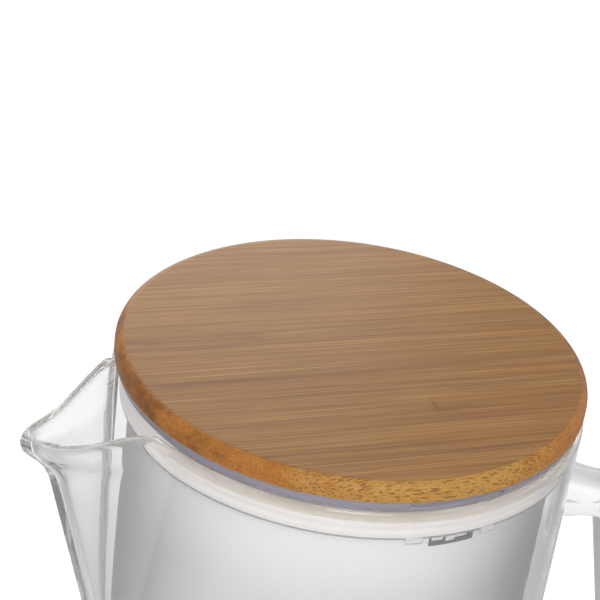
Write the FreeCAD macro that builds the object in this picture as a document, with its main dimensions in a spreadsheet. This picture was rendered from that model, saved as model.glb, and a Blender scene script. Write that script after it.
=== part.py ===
import FreeCAD, Part
import math
import os
import re

import Sketcher
from FreeCAD import Placement, Rotation, Vector

# Glass water filter pitcher: a round glass jug with a drawn V spout and a welded ear
# handle, a lift-out clear hopper that hangs on the rim, a filter cartridge standing in
# the hopper's socket and a bamboo disc lid on top.
# Millimetres, +Z up, origin at the centre of the jug's foot, spout along -X, handle along +X.

SIZES = [
    # Glass jug
    ("jug_radius", 69.0, "outside radius of the glass body"),
    ("glass_wall", 2.6, "thickness of the glass wall"),
    ("base_thickness", 5.0, "thickness of the glass floor"),
    ("base_round", 12.0, "outside corner radius of the foot"),
    ("rim_height", 226.5, "foot to glass rim"),
    # Drawn spout
    ("keel_reach", 25.2, "stand-off of the straight keel line at rim height"),
    ("keel_depth", 99.0, "rim down to where the keel line meets the body"),
    ("keel_fade", 3.0, "softness of the lower end of the keel"),
    ("lip_curl", 6.2, "extra reach where the lip turns outwards"),
    ("lip_curl_depth", 20.0, "depth below the rim at which the lip starts to turn"),
    ("lip_drop", 8.6, "dip of the lip below the rim"),
    ("lip_run", 20.0, "horizontal run of the dip from rim to lip"),
    ("spout_half_angle", 11.6, "half angle of the V at the body, degrees"),
    ("spout_blend_angle", 9.0, "half width of the hollow blend beside the V, degrees"),
    ("spout_nose_angle", 2.2, "roundness of the nose, degrees"),
    ("spout_foot_share", 0.45, "share of the V's width that is left where the keel ends"),
    ("nose_thickening", 0.45, "extra glass behind the nose, as a share of the wall"),
    # Welded handle
    ("handle_width", 20.0, "handle bar across the jug"),
    ("handle_thickness", 14.8, "handle bar in the plane of the ear"),
    ("handle_height", 176.7, "foot to the middle of the upper weld"),
    ("handle_arm", 36.0, "upper arm from the wall to the bend"),
    ("handle_arm_slope", 20.0, "fall of the upper arm, degrees"),
    ("handle_upper_bend", 13.0, "bend radius between arm and grip"),
    ("handle_grip", 52.0, "length of the straight grip"),
    ("handle_grip_lean", 15.0, "outward lean of the grip, degrees"),
    ("handle_lower_bend", 26.0, "bend radius below the grip"),
    ("handle_tail_slope", 20.0, "fall of the tail towards the wall, degrees"),
    ("weld_growth", 0.62, "how much wider the bar is at the weld, as a share"),
    ("weld_length", 28.0, "length over which the bar widens to the weld"),
    # Clearances
    ("seat_gap", 0.3, "clearance under a lift-out piece"),
    ("side_gap", 0.3, "clearance between collar and glass"),
    ("snap_gap", 0.15, "clearance between pieces snapped together"),
    ("lid_gap", 0.2, "clearance between lid and flange"),
    # Collar ring and its sleeve seal
    ("flange_thickness", 2.7, "flange that sits on the glass rim"),
    ("flange_overhang", 1.5, "flange beyond the collar wall"),
    ("collar_depth", 9.8, "flange underside to collar lower edge"),
    ("collar_wall", 2.9, "wall of the collar"),
    ("notch_angle", 24.0, "finger notch in the flange, degrees"),
    ("notch_height", 1.4, "finger notch height"),
    ("sleeve_height", 7.5, "height of the silicone sleeve"),
    ("sleeve_thickness", 0.8, "thickness of the silicone sleeve"),
    ("sleeve_drop", 1.6, "flange underside to the top of the sleeve"),
    ("sleeve_stand", 0.1, "how far the sleeve stands out of its groove"),
    ("tab_angle", 4.0, "locating tab under the collar, degrees"),
    ("tab_offset", 9.5, "locating tab from the side of the jug, degrees"),
    ("tab_height", 1.7, "height of a locating tab"),
    ("tab_thickness", 1.4, "thickness of a locating tab"),
    ("tab_root", 0.5, "bonded root of a locating tab inside the collar"),
    # Clips that lock the hopper bucket to the collar
    ("clip_angle", 11.5, "width of a clip, degrees"),
    ("clip_drop", 1.6, "collar lower edge to the top of a clip's bar"),
    ("clip_height", 1.35, "height of a clip's bar"),
    ("clip_tooth_height", 1.5, "height of a clip tooth inside the collar window"),
    ("clip_tooth_angle", 0.6, "width of a slim clip tooth, degrees"),
    ("clip_lug_angle", 1.5, "width of the lug at a clip's end, degrees"),
    ("clip_relief_angle", 2.5, "width of the relief in a clip's bar, degrees"),
    ("clip_relief_offset", 0.5, "relief from the middle of the clip, degrees"),
    ("clip_rib_offset", 2.1, "slim middle tooth from the middle of the clip, degrees"),
    # Hopper bucket
    ("bucket_wall", 1.8, "wall of the bucket"),
    ("bucket_depth", 104.0, "glass rim to the underside of the bucket floor"),
    ("bucket_floor", 2.2, "bucket floor thickness"),
    ("bucket_corner", 9.0, "outside corner radius of the bucket"),
    ("bead_height", 1.4, "snap bead height"),
    ("bead_stand", 0.9, "snap bead stand-out"),
    ("bead_drop", 1.3, "bucket edge to the top of the snap bead"),
    ("socket_radius", 28.0, "inside radius of the cartridge socket"),
    ("socket_wall", 1.8, "wall of the cartridge socket"),
    ("socket_depth", 30.0, "bucket floor underside to the end of the socket"),
    # Bamboo lid
    ("lid_inset", 1.0, "lid edge inside the glass outside"),
    ("lid_thickness", 5.5, "thickness of the bamboo disc"),
    ("lid_top_round", 2.1, "rounding of the upper lid edge"),
    ("lid_bottom_round", 0.4, "rounding of the lower lid edge"),
    ("liner_depth", 7.2, "lid underside to liner lower edge"),
    ("liner_gap", 0.7, "clearance between liner and collar"),
    ("liner_wall", 2.4, "wall of the liner skirt"),
    ("liner_plate", 1.8, "plate of the liner"),
    ("liner_headroom", 0.8, "liner lower edge to bucket edge"),
    ("lid_seal_height", 2.4, "height of the lid seal"),
    ("lid_seal_depth", 1.2, "depth of the lid seal groove"),
    ("lid_seal_drop", 2.4, "lid underside to the top of the lid seal"),
    ("lid_seal_stand", 0.4, "how far the lid seal stands out of its groove"),
    ("screw_circle", 44.0, "lid axis to screw axis"),
    ("screw_radius", 1.3, "screw shank radius"),
    ("screw_grip", 3.8, "screw length in the bamboo"),
    ("screw_head_radius", 2.8, "screw head radius"),
    ("screw_head_height", 1.7, "screw head height"),
    ("screw_slot", 0.8, "width of the cross recess"),
    ("screw_slot_reach", 1.7, "screw axis to the end of the cross recess"),
    ("screw_slot_depth", 0.9, "depth of the cross recess"),
    ("screw_gap", 0.1, "clearance around the screw shank"),
    # Filter cartridge
    ("cartridge_gap", 0.5, "clearance between cartridge and socket"),
    ("shell_wall", 1.6, "wall of the cartridge shell"),
    ("shell_drop", 50.0, "bucket floor to the bottom of the cartridge"),
    ("shell_taper", 2.4, "narrowing of the shell towards its bottom"),
    ("head_radius", 34.0, "radius of the cartridge head"),
    ("head_height", 26.0, "ledge to the top of the shell"),
    ("cap_rim", 3.0, "straight edge of the cap"),
    ("cap_rise", 6.0, "rise of the sloped top of the cap"),
    ("cap_wall", 1.8, "thickness of the cap"),
    ("cap_crown_radius", 13.0, "flat crown in the middle of the cap"),
    ("cap_spigot", 3.0, "depth of the cap spigot inside the shell"),
    ("grip_width", 22.0, "width of the pull tab at its root"),
    ("grip_top_width", 17.6, "width of the pull tab at its top"),
    ("grip_height", 12.0, "height of the pull tab"),
    ("grip_thickness", 4.0, "thickness of the pull tab"),
    ("grip_hole", 3.6, "radius of the hole in the pull tab"),
    ("inlet_slot", 1.6, "width of an inlet slot in the cap"),
    ("inlet_slot_end", 28.0, "cap axis to the outer end of an inlet slot"),
    ("outlet_slot", 1.8, "width of an outlet slot in the shell floor"),
    ("outlet_slot_start", 6.0, "shell axis to the inner end of an outlet slot"),
    ("outlet_slot_margin", 3.0, "outlet slot end to the shell inside"),
    ("gasket_height", 1.6, "thickness of the cartridge gasket"),
    ("gasket_inset", 0.8, "gasket edge inside the cartridge head"),
    ("media_gap", 0.15, "clearance around the filter media"),
    ("screen_thickness", 1.0, "thickness of the cartridge screens"),
    ("carbon_height", 22.0, "depth of the carbon bed"),
    ("felt_thickness", 2.0, "thickness of the felt between the beds"),
]

# Places that several pieces share, worked out from the sizes above.
PLACES = {
    "mouth_radius": "jug_radius - glass_wall",
    "collar_radius": "mouth_radius - side_gap",
    "collar_inside": "collar_radius - collar_wall",
    "flange_radius": "collar_radius + flange_overhang",
    "flange_bottom": "rim_height + seat_gap",
    "flange_top": "flange_bottom + flange_thickness",
    "collar_bottom": "flange_bottom - collar_depth",
    "sleeve_top": "flange_bottom - sleeve_drop",
    "sleeve_bottom": "sleeve_top - sleeve_height",
    "groove_radius": "collar_radius - sleeve_thickness",
    "bucket_radius": "collar_inside - snap_gap",
    "bucket_inside": "bucket_radius - bucket_wall",
    "bucket_top": "liner_bottom - liner_headroom",
    "floor_bottom": "rim_height - bucket_depth",
    "floor_top": "floor_bottom + bucket_floor",
    "bead_top": "bucket_top - bead_drop",
    "bead_bottom": "bead_top - bead_height",
    "bead_radius": "bucket_radius + bead_stand",
    "socket_outside": "socket_radius + socket_wall",
    "socket_bottom": "floor_bottom - socket_depth",
    "clip_inside": "bucket_radius + snap_gap",
    "clip_outside": "collar_radius - tab_thickness",
    "clip_top": "collar_bottom - clip_drop",
    "lid_bottom": "flange_top + lid_gap",
    "lid_top": "lid_bottom + lid_thickness",
    "lid_radius": "jug_radius - lid_inset",
    "liner_radius": "collar_inside - liner_gap",
    "liner_bottom": "lid_bottom - liner_depth",
    "plate_bottom": "lid_bottom - liner_plate",
    "lid_seal_top": "lid_bottom - lid_seal_drop",
    "lid_seal_bottom": "lid_seal_top - lid_seal_height",
    "lid_seal_inside": "liner_radius - lid_seal_depth",
    "gasket_bottom": "floor_top + seat_gap",
    "ledge": "gasket_bottom + gasket_height",
    "shell_radius": "socket_radius - cartridge_gap",
    "shell_bottom": "floor_top - shell_drop",
    "shell_foot": "shell_radius - shell_taper",
    "shell_top": "ledge + head_height",
    "inside_floor": "shell_bottom + shell_wall",
    "inside_ledge": "ledge + shell_wall",
    "inside_foot": "shell_foot - shell_wall",
    "inside_neck": "shell_radius - shell_wall",
    "inside_head": "head_radius - shell_wall",
    "spigot_bottom": "shell_top - cap_spigot",
    "cap_edge": "shell_top + cap_rim",
    "cap_top": "cap_edge + cap_rise",
    "media_slope": "shell_taper / (inside_ledge - inside_floor)",
    "outlet_screen_top": "inside_floor + screen_thickness",
    "carbon_top": "outlet_screen_top + carbon_height",
    "felt_top": "carbon_top + felt_thickness",
    "inlet_screen_bottom": "spigot_bottom - screen_thickness",
}

# The spout is lofted through level sections: how far its side of a section reaches round
# the jug, the points on each, and the levels as shares of the keel's depth below the rim.
SPOUT_SPAN = math.radians(24.0)
SPOUT_POINTS = 33
SPOUT_LEVELS = (-0.08, 0.0, 0.05, 0.1, 0.15, 0.2, 0.3, 0.4, 0.52, 0.64, 0.76, 0.88, 1.0)
PLAIN_LEVEL = 1.2
SCREW_COUNT = 4
INLET_SLOTS = 18
OUTLET_SLOTS = 8
SIDES = {"front": 270.0, "back": 90.0}

doc = FreeCAD.newDocument("filter_pitcher")
sheet = doc.addObject("Spreadsheet::Sheet", "Spec")
for row, (alias, number, meaning) in enumerate(SIZES, start=1):
    sheet.set(f"A{row}", meaning)
    sheet.set(f"B{row}", str(number))
    sheet.setAlias(f"B{row}", alias)
doc.recompute()

nodes = {}
numbers = {}


def formula(text):
    """Spell a line of size and place names out as an expression on the sheet."""
    def spell(match):
        word = match.group(0)
        if word in PLACES:
            return "(" + formula(PLACES[word]) + ")"
        return "Spec." + word
    return re.sub(r"[a-z_]{3,}", spell, text)


def value(text):
    """The number that such a line stands for, worked out once."""
    if text not in numbers:
        numbers[text] = float(sheet.evalExpression(formula(text)))
    return numbers[text]


def bind(item, prop, text):
    item.setExpression(prop, formula(text))


def keep(node, item):
    """Make an object one of the part's pieces."""
    item.Label = node
    nodes[node] = item


def origin_feature(body, role):
    return next(feature for feature in body.Origin.OriginFeatures if feature.Role == role)


def new_sketch(body, name, role, lift="0"):
    sketch = body.newObject("Sketcher::SketchObject", name)
    sketch.AttachmentSupport = (origin_feature(body, role), [""])
    sketch.MapMode = "FlatFace"
    if lift != "0":
        bind(sketch, "AttachmentOffset.Base.z", lift)
    return sketch


def draw_outline(sketch, corners):
    """Closed outline of straight edges, each corner tied to the sheet in both directions."""
    first = sketch.GeometryCount
    count = len(corners)
    spots = [Vector(value(across), value(along), 0) for across, along in corners]
    for index, spot in enumerate(spots):
        sketch.addGeometry(Part.LineSegment(spot, spots[(index + 1) % count]))
    for index in range(count):
        following = first + (index + 1) % count
        sketch.addConstraint(Sketcher.Constraint("Coincident", first + index, 2, following, 1))
    for index, (corner, spot) in enumerate(zip(corners, spots)):
        for direction, text, number in zip("XY", corner, (spot.x, spot.y)):
            rule = Sketcher.Constraint("Distance" + direction, -1, 1, first + index, 1, number)
            place = sketch.addConstraint(rule)
            bind(sketch, f"Constraints[{place}]", text)


def draw_circle(sketch, across, along, radius):
    centre = Vector(value(across), value(along), 0)
    circle = sketch.addGeometry(Part.Circle(centre, Vector(0, 0, 1), value(radius)))
    for kind, text, number in (("DistanceX", across, centre.x), ("DistanceY", along, centre.y)):
        place = sketch.addConstraint(Sketcher.Constraint(kind, -1, 1, circle, 3, number))
        bind(sketch, f"Constraints[{place}]", text)
    place = sketch.addConstraint(Sketcher.Constraint("Radius", circle, value(radius)))
    bind(sketch, f"Constraints[{place}]", radius)


def turned(name, corners):
    """Body turned about the jug's axis from a profile of (radius, height) corners."""
    body = doc.addObject("PartDesign::Body", name)
    sketch = new_sketch(body, name + "_profile", "XZ_Plane")
    draw_outline(sketch, corners)
    turn = body.newObject("PartDesign::Revolution", name + "_turn")
    turn.Profile = sketch
    turn.ReferenceAxis = (sketch, ["V_Axis"])
    turn.Angle = 360
    doc.recompute()
    return body


def round_rings(body, name, rings, radius):
    """Round the circular edges of a turned body at the given (radius, height) places."""
    base = body.Tip
    wanted = [(value(ring), value(height)) for ring, height in rings]
    edges = []
    for index, edge in enumerate(base.Shape.Edges, start=1):
        if not isinstance(edge.Curve, Part.Circle):
            continue
        place = (edge.Curve.Radius, edge.Curve.Center.z)
        if any(math.dist(place, spot) < 1e-6 for spot in wanted):
            edges.append(f"Edge{index}")
    fillet = body.newObject("PartDesign::Fillet", name)
    fillet.Base = (base, edges)
    bind(fillet, "Radius", radius)
    doc.recompute()


def cut_holes(body, name, lift, draw, depth, count, upwards):
    """Sunk shape drawn at a height, repeated evenly round the jug's axis."""
    before = body.Shape.Volume
    sketch = new_sketch(body, name + "_sketch", "XY_Plane", lift)
    draw(sketch)
    pocket = body.newObject("PartDesign::Pocket", name)
    pocket.Profile = sketch
    pocket.Reversed = upwards
    bind(pocket, "Length", depth)
    doc.recompute()
    if count > 1:
        ring = body.newObject("PartDesign::PolarPattern", name + "_ring")
        ring.Originals = [pocket]
        ring.Axis = (origin_feature(body, "Z_Axis"), [""])
        ring.Angle = 360
        ring.Occurrences = count
        body.Tip = ring
        doc.recompute()
    if body.Shape.Volume > before - 1e-3:
        raise RuntimeError(name + " cut nothing")


def sector(name, inside, outside, bottom, height, middle, span):
    """Piece of a ring round the jug's axis: middle is a formula for its direction."""
    cylinders = []
    for part_name, radius in (("outer", outside), ("inner", inside)):
        cylinder = doc.addObject("Part::Cylinder", f"{name}_{part_name}")
        bind(cylinder, "Radius", radius)
        bind(cylinder, "Height", height)
        cylinders.append(cylinder)
    outer, inner = cylinders
    bind(outer, "Angle", span)
    start = f"{middle} - ({span}) / 2"
    outer.Placement = Placement(Vector(), Rotation(Vector(0, 0, 1), value(start)))
    bind(outer, "Placement.Rotation.Angle", start)
    for cylinder in cylinders:
        bind(cylinder, "Placement.Base.z", bottom)
    ring = doc.addObject("Part::Cut", name)
    ring.Base = outer
    ring.Tool = inner
    return ring


def joined(kind, name, base, tools):
    """Cut the tools from a base, or fuse them to it, one after the other."""
    for index, tool in enumerate(tools):
        step = doc.addObject(kind, f"{name}_{index}")
        step.Base = base
        step.Tool = tool
        base = step
    doc.recompute()
    return base


def softened(amount, blend):
    """max(0, amount) with a smooth corner that is blend wide to each side."""
    if amount <= -blend:
        return 0.0
    if amount >= blend:
        return amount
    return (amount + blend) ** 2 / (4.0 * blend)


def keel_stand(depth):
    """How far the spout's keel stands off the round body at a depth below the rim."""
    straight = value("keel_reach") * (1.0 - depth / value("keel_depth"))
    turn = value("lip_curl_depth")
    curl = (turn - max(depth, value("lip_drop"))) / (turn - value("lip_drop"))
    return softened(straight, value("keel_fade")) + value("lip_curl") * max(curl, 0.0) ** 2


def spout_point(turn, height, inside):
    """Point of the glass wall at an angle from the spout's middle, outside or inside."""
    depth = value("rim_height") - height
    radius = value("jug_radius")
    stand = keel_stand(depth)
    foot_share = value("spout_foot_share")
    narrowing = foot_share + (1.0 - foot_share) * max(0.0, 1.0 - depth / value("keel_depth"))
    half = math.radians(value("spout_half_angle")) * narrowing
    if inside:
        inner_stand = softened(stand - value("nose_thickening * glass_wall"), value("keel_fade / 2"))
        share = inner_stand / stand if stand > 0.0 else 0.0
        radius -= value("glass_wall")
        half = math.asin(math.sin(half) * value("jug_radius") * share / radius)
        stand = inner_stand
    blend = math.radians(value("spout_blend_angle")) * narrowing
    nose = math.radians(value("spout_nose_angle"))
    crest = softened(half - nose, blend)
    if crest > 0.0:
        radius += stand * softened(half - math.hypot(turn, nose), blend) / crest
    return Vector(-radius * math.cos(turn), -radius * math.sin(turn), height)


def spout_section(height, inside, plain):
    """Level section of the wall: a nose curve on the spout's side and an arc round the rest."""
    ends = [spout_point(turn, height, inside) for turn in (-SPOUT_SPAN, SPOUT_SPAN)]
    radius = math.hypot(ends[0].x, ends[0].y)
    far = Vector(radius, 0, height)
    if plain:
        nose = Part.Arc(ends[0], Vector(-radius, 0, height), ends[1]).toShape()
    else:
        turns = [SPOUT_SPAN * (2.0 * step / (SPOUT_POINTS - 1) - 1.0) for step in range(SPOUT_POINTS)]
        curve = Part.BSplineCurve()
        tangents = [Vector(math.sin(turn), -math.cos(turn), 0) for turn in (-SPOUT_SPAN, SPOUT_SPAN)]
        curve.interpolate(
            Points=[spout_point(turn, height, inside) for turn in turns],
            InitialTangent=tangents[0],
            FinalTangent=tangents[1],
        )
        nose = curve.toShape()
    back = Part.Arc(ends[1], far, ends[0]).toShape()
    return Part.Wire([nose, back])


def jug_form(inside):
    """Solid bounded by the outside or the inside of the glass."""
    rim = value("rim_height")
    split = rim - value("keel_depth") * PLAIN_LEVEL
    radius = value("mouth_radius") if inside else value("jug_radius")
    floor = value("base_thickness") if inside else 0.0
    corner = value("base_round") - (value("glass_wall") if inside else 0.0)
    lower = Part.makeCylinder(radius, split - floor, Vector(0, 0, floor))
    bottom = [edge for edge in lower.Edges if edge.BoundBox.ZMax < floor + 1e-6]
    lower = lower.makeFillet(corner, bottom)
    sections = [spout_section(split, inside, True)]
    for level in reversed(SPOUT_LEVELS):
        sections.append(spout_section(rim - value("keel_depth") * level, inside, False))
    upper = Part.makeLoft(sections, True, False)
    return lower.fuse(upper)


def rim_tool():
    """Everything above the rim, which is level and dips to the lip along the spout."""
    rim = value("rim_height")
    drop = value("lip_drop")
    run = value("lip_run")
    start = -(value("jug_radius") - value("glass_wall") / 2)
    reach = value("jug_radius") + value("keel_reach") + value("lip_curl")
    middle = Vector(start - run / 2, 0, rim - drop / 2)
    bend = (run ** 2 + drop ** 2) / (4.0 * drop)
    half_turn = math.asin(run / 2 / bend) / 2
    rise = bend * (1.0 - math.cos(half_turn))
    side = bend * math.sin(half_turn)
    corners = [
        Vector(2 * reach, 0, rim),
        Vector(start, 0, rim),
        middle,
        Vector(start - run, 0, rim - drop),
        Vector(-2 * reach, 0, rim - drop),
        Vector(-2 * reach, 0, rim + reach),
        Vector(2 * reach, 0, rim + reach),
    ]
    upper_arc = Part.Arc(corners[1], Vector(start - side, 0, rim - rise), middle)
    lower_arc = Part.Arc(middle, Vector(start - run + side, 0, rim - drop + rise), corners[3])
    edges = [
        Part.LineSegment(corners[0], corners[1]).toShape(),
        upper_arc.toShape(),
        lower_arc.toShape(),
        Part.LineSegment(corners[3], corners[4]).toShape(),
        Part.LineSegment(corners[4], corners[5]).toShape(),
        Part.LineSegment(corners[5], corners[6]).toShape(),
        Part.LineSegment(corners[6], corners[0]).toShape(),
    ]
    face = Part.Face(Part.Wire(edges))
    face.translate(Vector(0, -2 * reach, 0))
    return face.extrude(Vector(0, 4 * reach, 0))


def make_glass_body():
    """Jug of clear glass, one wall all round, with its spout drawn out of the wall."""
    glass = jug_form(False).cut(jug_form(True)).cut(rim_tool())
    body = doc.addObject("Part::Feature", "glass_body")
    body.Shape = glass
    keep("glass_body", body)


def handle_stations():
    """Places along the handle's middle line: (reach, height, heading, distance to the wall)."""
    wall = value("jug_radius")
    sink = value("weld_length") / 2
    slope = -math.radians(value("handle_arm_slope"))
    lean = -math.radians(90.0 - value("handle_grip_lean"))
    tail = -math.radians(180.0 - value("handle_tail_slope"))
    spots = []

    def along(start, heading, length, steps):
        for step in range(1, steps + 1):
            gone = length * step / steps
            reach = start[0] + gone * math.cos(heading)
            height = start[1] + gone * math.sin(heading)
            spots.append((reach, height, heading))
        return spots[-1][:2]

    def round_bend(start, heading, after, radius, steps):
        middle = (start[0] + radius * math.sin(heading), start[1] - radius * math.cos(heading))
        for step in range(1, steps + 1):
            facing = heading + (after - heading) * step / steps
            reach = middle[0] - radius * math.sin(facing)
            height = middle[1] + radius * math.cos(facing)
            spots.append((reach, height, facing))
        return spots[-1][:2]

    first = (wall - sink * math.cos(slope), value("handle_height") - sink * math.sin(slope))
    spots.append((*first, slope))
    weld = value("weld_length")
    point = along(first, slope, sink + weld, 4)
    point = along(point, slope, value("handle_arm") - weld, 1)
    point = round_bend(point, slope, lean, value("handle_upper_bend"), 4)
    point = along(point, lean, value("handle_grip"), 4)
    point = round_bend(point, lean, tail, value("handle_lower_bend"), 5)
    left = (point[0] - wall) / -math.cos(tail)
    point = along(point, tail, left - weld, 2)
    along(point, tail, weld + sink, 4)
    return [(reach, height, facing, reach - wall) for reach, height, facing in spots]


def make_glass_handle():
    """Solid glass ear, wider where it is welded to the wall."""
    rings = []
    for index, (reach, height, facing, clear) in enumerate(handle_stations()):
        share = max(0.0, 1.0 - max(clear, 0.0) / value("weld_length"))
        growth = share ** 2
        ring = doc.addObject("Part::Ellipse", f"handle_ring_{index}")
        bind(ring, "MajorRadius", f"handle_width / 2 * (1 + weld_growth * {growth:.6f})")
        bind(ring, "MinorRadius", f"handle_thickness / 2 * (1 + weld_growth * {growth:.6f})")
        along = Vector(math.cos(facing), 0, math.sin(facing))
        across = Vector(0, 1, 0)
        ring.Placement = Placement(
            Vector(reach, 0, height), Rotation(across, along.cross(across), along, "ZXY")
        )
        rings.append(ring)
    bar = doc.addObject("Part::Loft", "handle_bar")
    bar.Sections = rings
    bar.Solid = True
    bar.Ruled = False
    wall = doc.addObject("Part::Cylinder", "handle_wall")
    bind(wall, "Radius", "jug_radius")
    bind(wall, "Height", "rim_height")
    keep("glass_handle", joined("Part::Cut", "handle_fitted", bar, [wall]))


def make_collar_ring():
    """Clear ring that hangs the hopper on the glass rim."""
    ring = turned("collar_blank", [
        ("collar_inside", "flange_top"),
        ("flange_radius", "flange_top"),
        ("flange_radius", "flange_bottom"),
        ("collar_radius", "flange_bottom"),
        ("collar_radius", "sleeve_top"),
        ("groove_radius", "sleeve_top"),
        ("groove_radius", "sleeve_bottom"),
        ("collar_radius", "sleeve_bottom"),
        ("collar_radius", "collar_bottom"),
        ("collar_inside", "collar_bottom"),
        ("collar_inside", "bead_bottom - snap_gap"),
        ("bead_radius + snap_gap", "bead_bottom - snap_gap"),
        ("bead_radius + snap_gap", "bead_top + snap_gap"),
        ("collar_inside", "bead_top + snap_gap"),
    ])
    round_rings(ring, "flange_edge", [("flange_radius", "flange_top")], "flange_overhang / 3")
    tabs = []
    openings = []
    for side, middle in SIDES.items():
        for name, way in (("left", "-"), ("right", "+")):
            tabs.append(sector(
                f"tab_{side}_{name}", "collar_radius - tab_thickness", "collar_radius",
                "collar_bottom - tab_height", "tab_height + tab_root",
                f"{middle} {way} tab_offset", "tab_angle",
            ))
        openings.append(sector(
            f"notch_{side}", "collar_radius", "flange_radius * 2", "flange_bottom", "notch_height",
            f"{middle}", "notch_angle",
        ))
        openings.append(sector(
            f"window_{side}", "clip_inside - collar_wall", "clip_outside + snap_gap", "collar_bottom",
            "clip_tooth_height", f"{middle}", "clip_angle + clip_lug_angle",
        ))
    ring = joined("Part::Fuse", "collar_tabbed", ring, tabs)
    keep("collar_ring", joined("Part::Cut", "collar_open", ring, openings))


def make_collar_seal():
    """Silicone sleeve in the collar's groove, which holds the hopper in the tilted jug."""
    keep("collar_seal", turned("collar_sleeve", [
        ("groove_radius", "sleeve_bottom"),
        ("collar_radius + sleeve_stand", "sleeve_bottom"),
        ("collar_radius + sleeve_stand", "sleeve_top"),
        ("groove_radius", "sleeve_top"),
    ]))


def make_hopper_bucket():
    """Translucent bucket that takes the tap water, with the cartridge socket in its floor."""
    bucket = turned("bucket", [
        ("bucket_inside", "bucket_top"),
        ("bucket_radius", "bucket_top"),
        ("bucket_radius", "bead_top"),
        ("bead_radius", "bead_top"),
        ("bead_radius", "bead_bottom"),
        ("bucket_radius", "bead_bottom"),
        ("bucket_radius", "floor_bottom"),
        ("socket_outside", "floor_bottom"),
        ("socket_outside", "socket_bottom"),
        ("socket_radius", "socket_bottom"),
        ("socket_radius", "floor_top"),
        ("bucket_inside", "floor_top"),
    ])
    round_rings(bucket, "bucket_outer_corner", [("bucket_radius", "floor_bottom")], "bucket_corner")
    round_rings(
        bucket, "bucket_inner_corner", [("bucket_inside", "floor_top")], "bucket_corner - bucket_wall"
    )
    keep("hopper_bucket", bucket)


def make_bucket_clips():
    """Grey clips, one each side, whose teeth lock the bucket inside the collar."""
    clips = []
    for side, middle in SIDES.items():
        bar = sector(
            f"clip_bar_{side}", "clip_inside", "clip_outside", "clip_top - clip_height", "clip_height",
            f"{middle}", "clip_angle",
        )
        relief = sector(
            f"clip_relief_{side}", "clip_inside - clip_height", "clip_outside + clip_height",
            "clip_top - clip_height / 2", "clip_height", f"{middle} - clip_relief_offset", "clip_relief_angle",
        )
        bar = joined("Part::Cut", f"clip_relieved_{side}", bar, [relief])
        teeth = []
        for name, place, span in (
            ("end", "- (clip_angle - clip_tooth_angle) / 2", "clip_tooth_angle"),
            ("rib", "- clip_rib_offset", "clip_tooth_angle"),
            ("lug", "+ (clip_angle - clip_lug_angle) / 2", "clip_lug_angle"),
        ):
            teeth.append(sector(
                f"clip_{name}_{side}", "clip_inside", "clip_outside", "clip_top",
                "clip_drop + clip_tooth_height - snap_gap", f"{middle} {place}", span,
            ))
        clips.append(joined("Part::Fuse", f"clip_{side}", bar, teeth))
    pair = doc.addObject("Part::Compound", "clip_pair")
    pair.Links = clips
    keep("bucket_clips", pair)


def make_bamboo_disc():
    """Turned bamboo board with an eased upper edge and pilot holes below."""
    disc = turned("bamboo_board", [
        ("0", "lid_bottom"),
        ("lid_radius", "lid_bottom"),
        ("lid_radius", "lid_top"),
        ("0", "lid_top"),
    ])
    round_rings(disc, "board_top_edge", [("lid_radius", "lid_top")], "lid_top_round")
    round_rings(disc, "board_bottom_edge", [("lid_radius", "lid_bottom")], "lid_bottom_round")
    cut_holes(
        disc, "pilot_hole", "lid_bottom",
        lambda sketch: draw_circle(sketch, "screw_circle", "0", "screw_radius + screw_gap"),
        "screw_grip + screw_gap", SCREW_COUNT, True,
    )
    keep("bamboo_disc", disc)


def make_lid_liner():
    """Moulded plug under the bamboo that centres the lid in the collar."""
    liner = turned("liner", [
        ("0", "lid_bottom"),
        ("liner_radius", "lid_bottom"),
        ("liner_radius", "lid_seal_top"),
        ("lid_seal_inside", "lid_seal_top"),
        ("lid_seal_inside", "lid_seal_bottom"),
        ("liner_radius", "lid_seal_bottom"),
        ("liner_radius", "liner_bottom"),
        ("liner_radius - liner_wall", "liner_bottom"),
        ("liner_radius - liner_wall", "plate_bottom"),
        ("0", "plate_bottom"),
    ])
    cut_holes(
        liner, "screw_hole", "plate_bottom",
        lambda sketch: draw_circle(sketch, "screw_circle", "0", "screw_radius + screw_gap"),
        "liner_plate", SCREW_COUNT, True,
    )
    keep("lid_liner", liner)


def make_lid_seal():
    """Silicone ring round the liner."""
    keep("lid_seal", turned("lid_ring", [
        ("lid_seal_inside", "lid_seal_bottom"),
        ("liner_radius", "lid_seal_bottom"),
        ("liner_radius + lid_seal_stand", "lid_seal_bottom + lid_seal_height / 3"),
        ("liner_radius + lid_seal_stand", "lid_seal_top - lid_seal_height / 3"),
        ("liner_radius", "lid_seal_top"),
        ("lid_seal_inside", "lid_seal_top"),
    ]))


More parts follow.
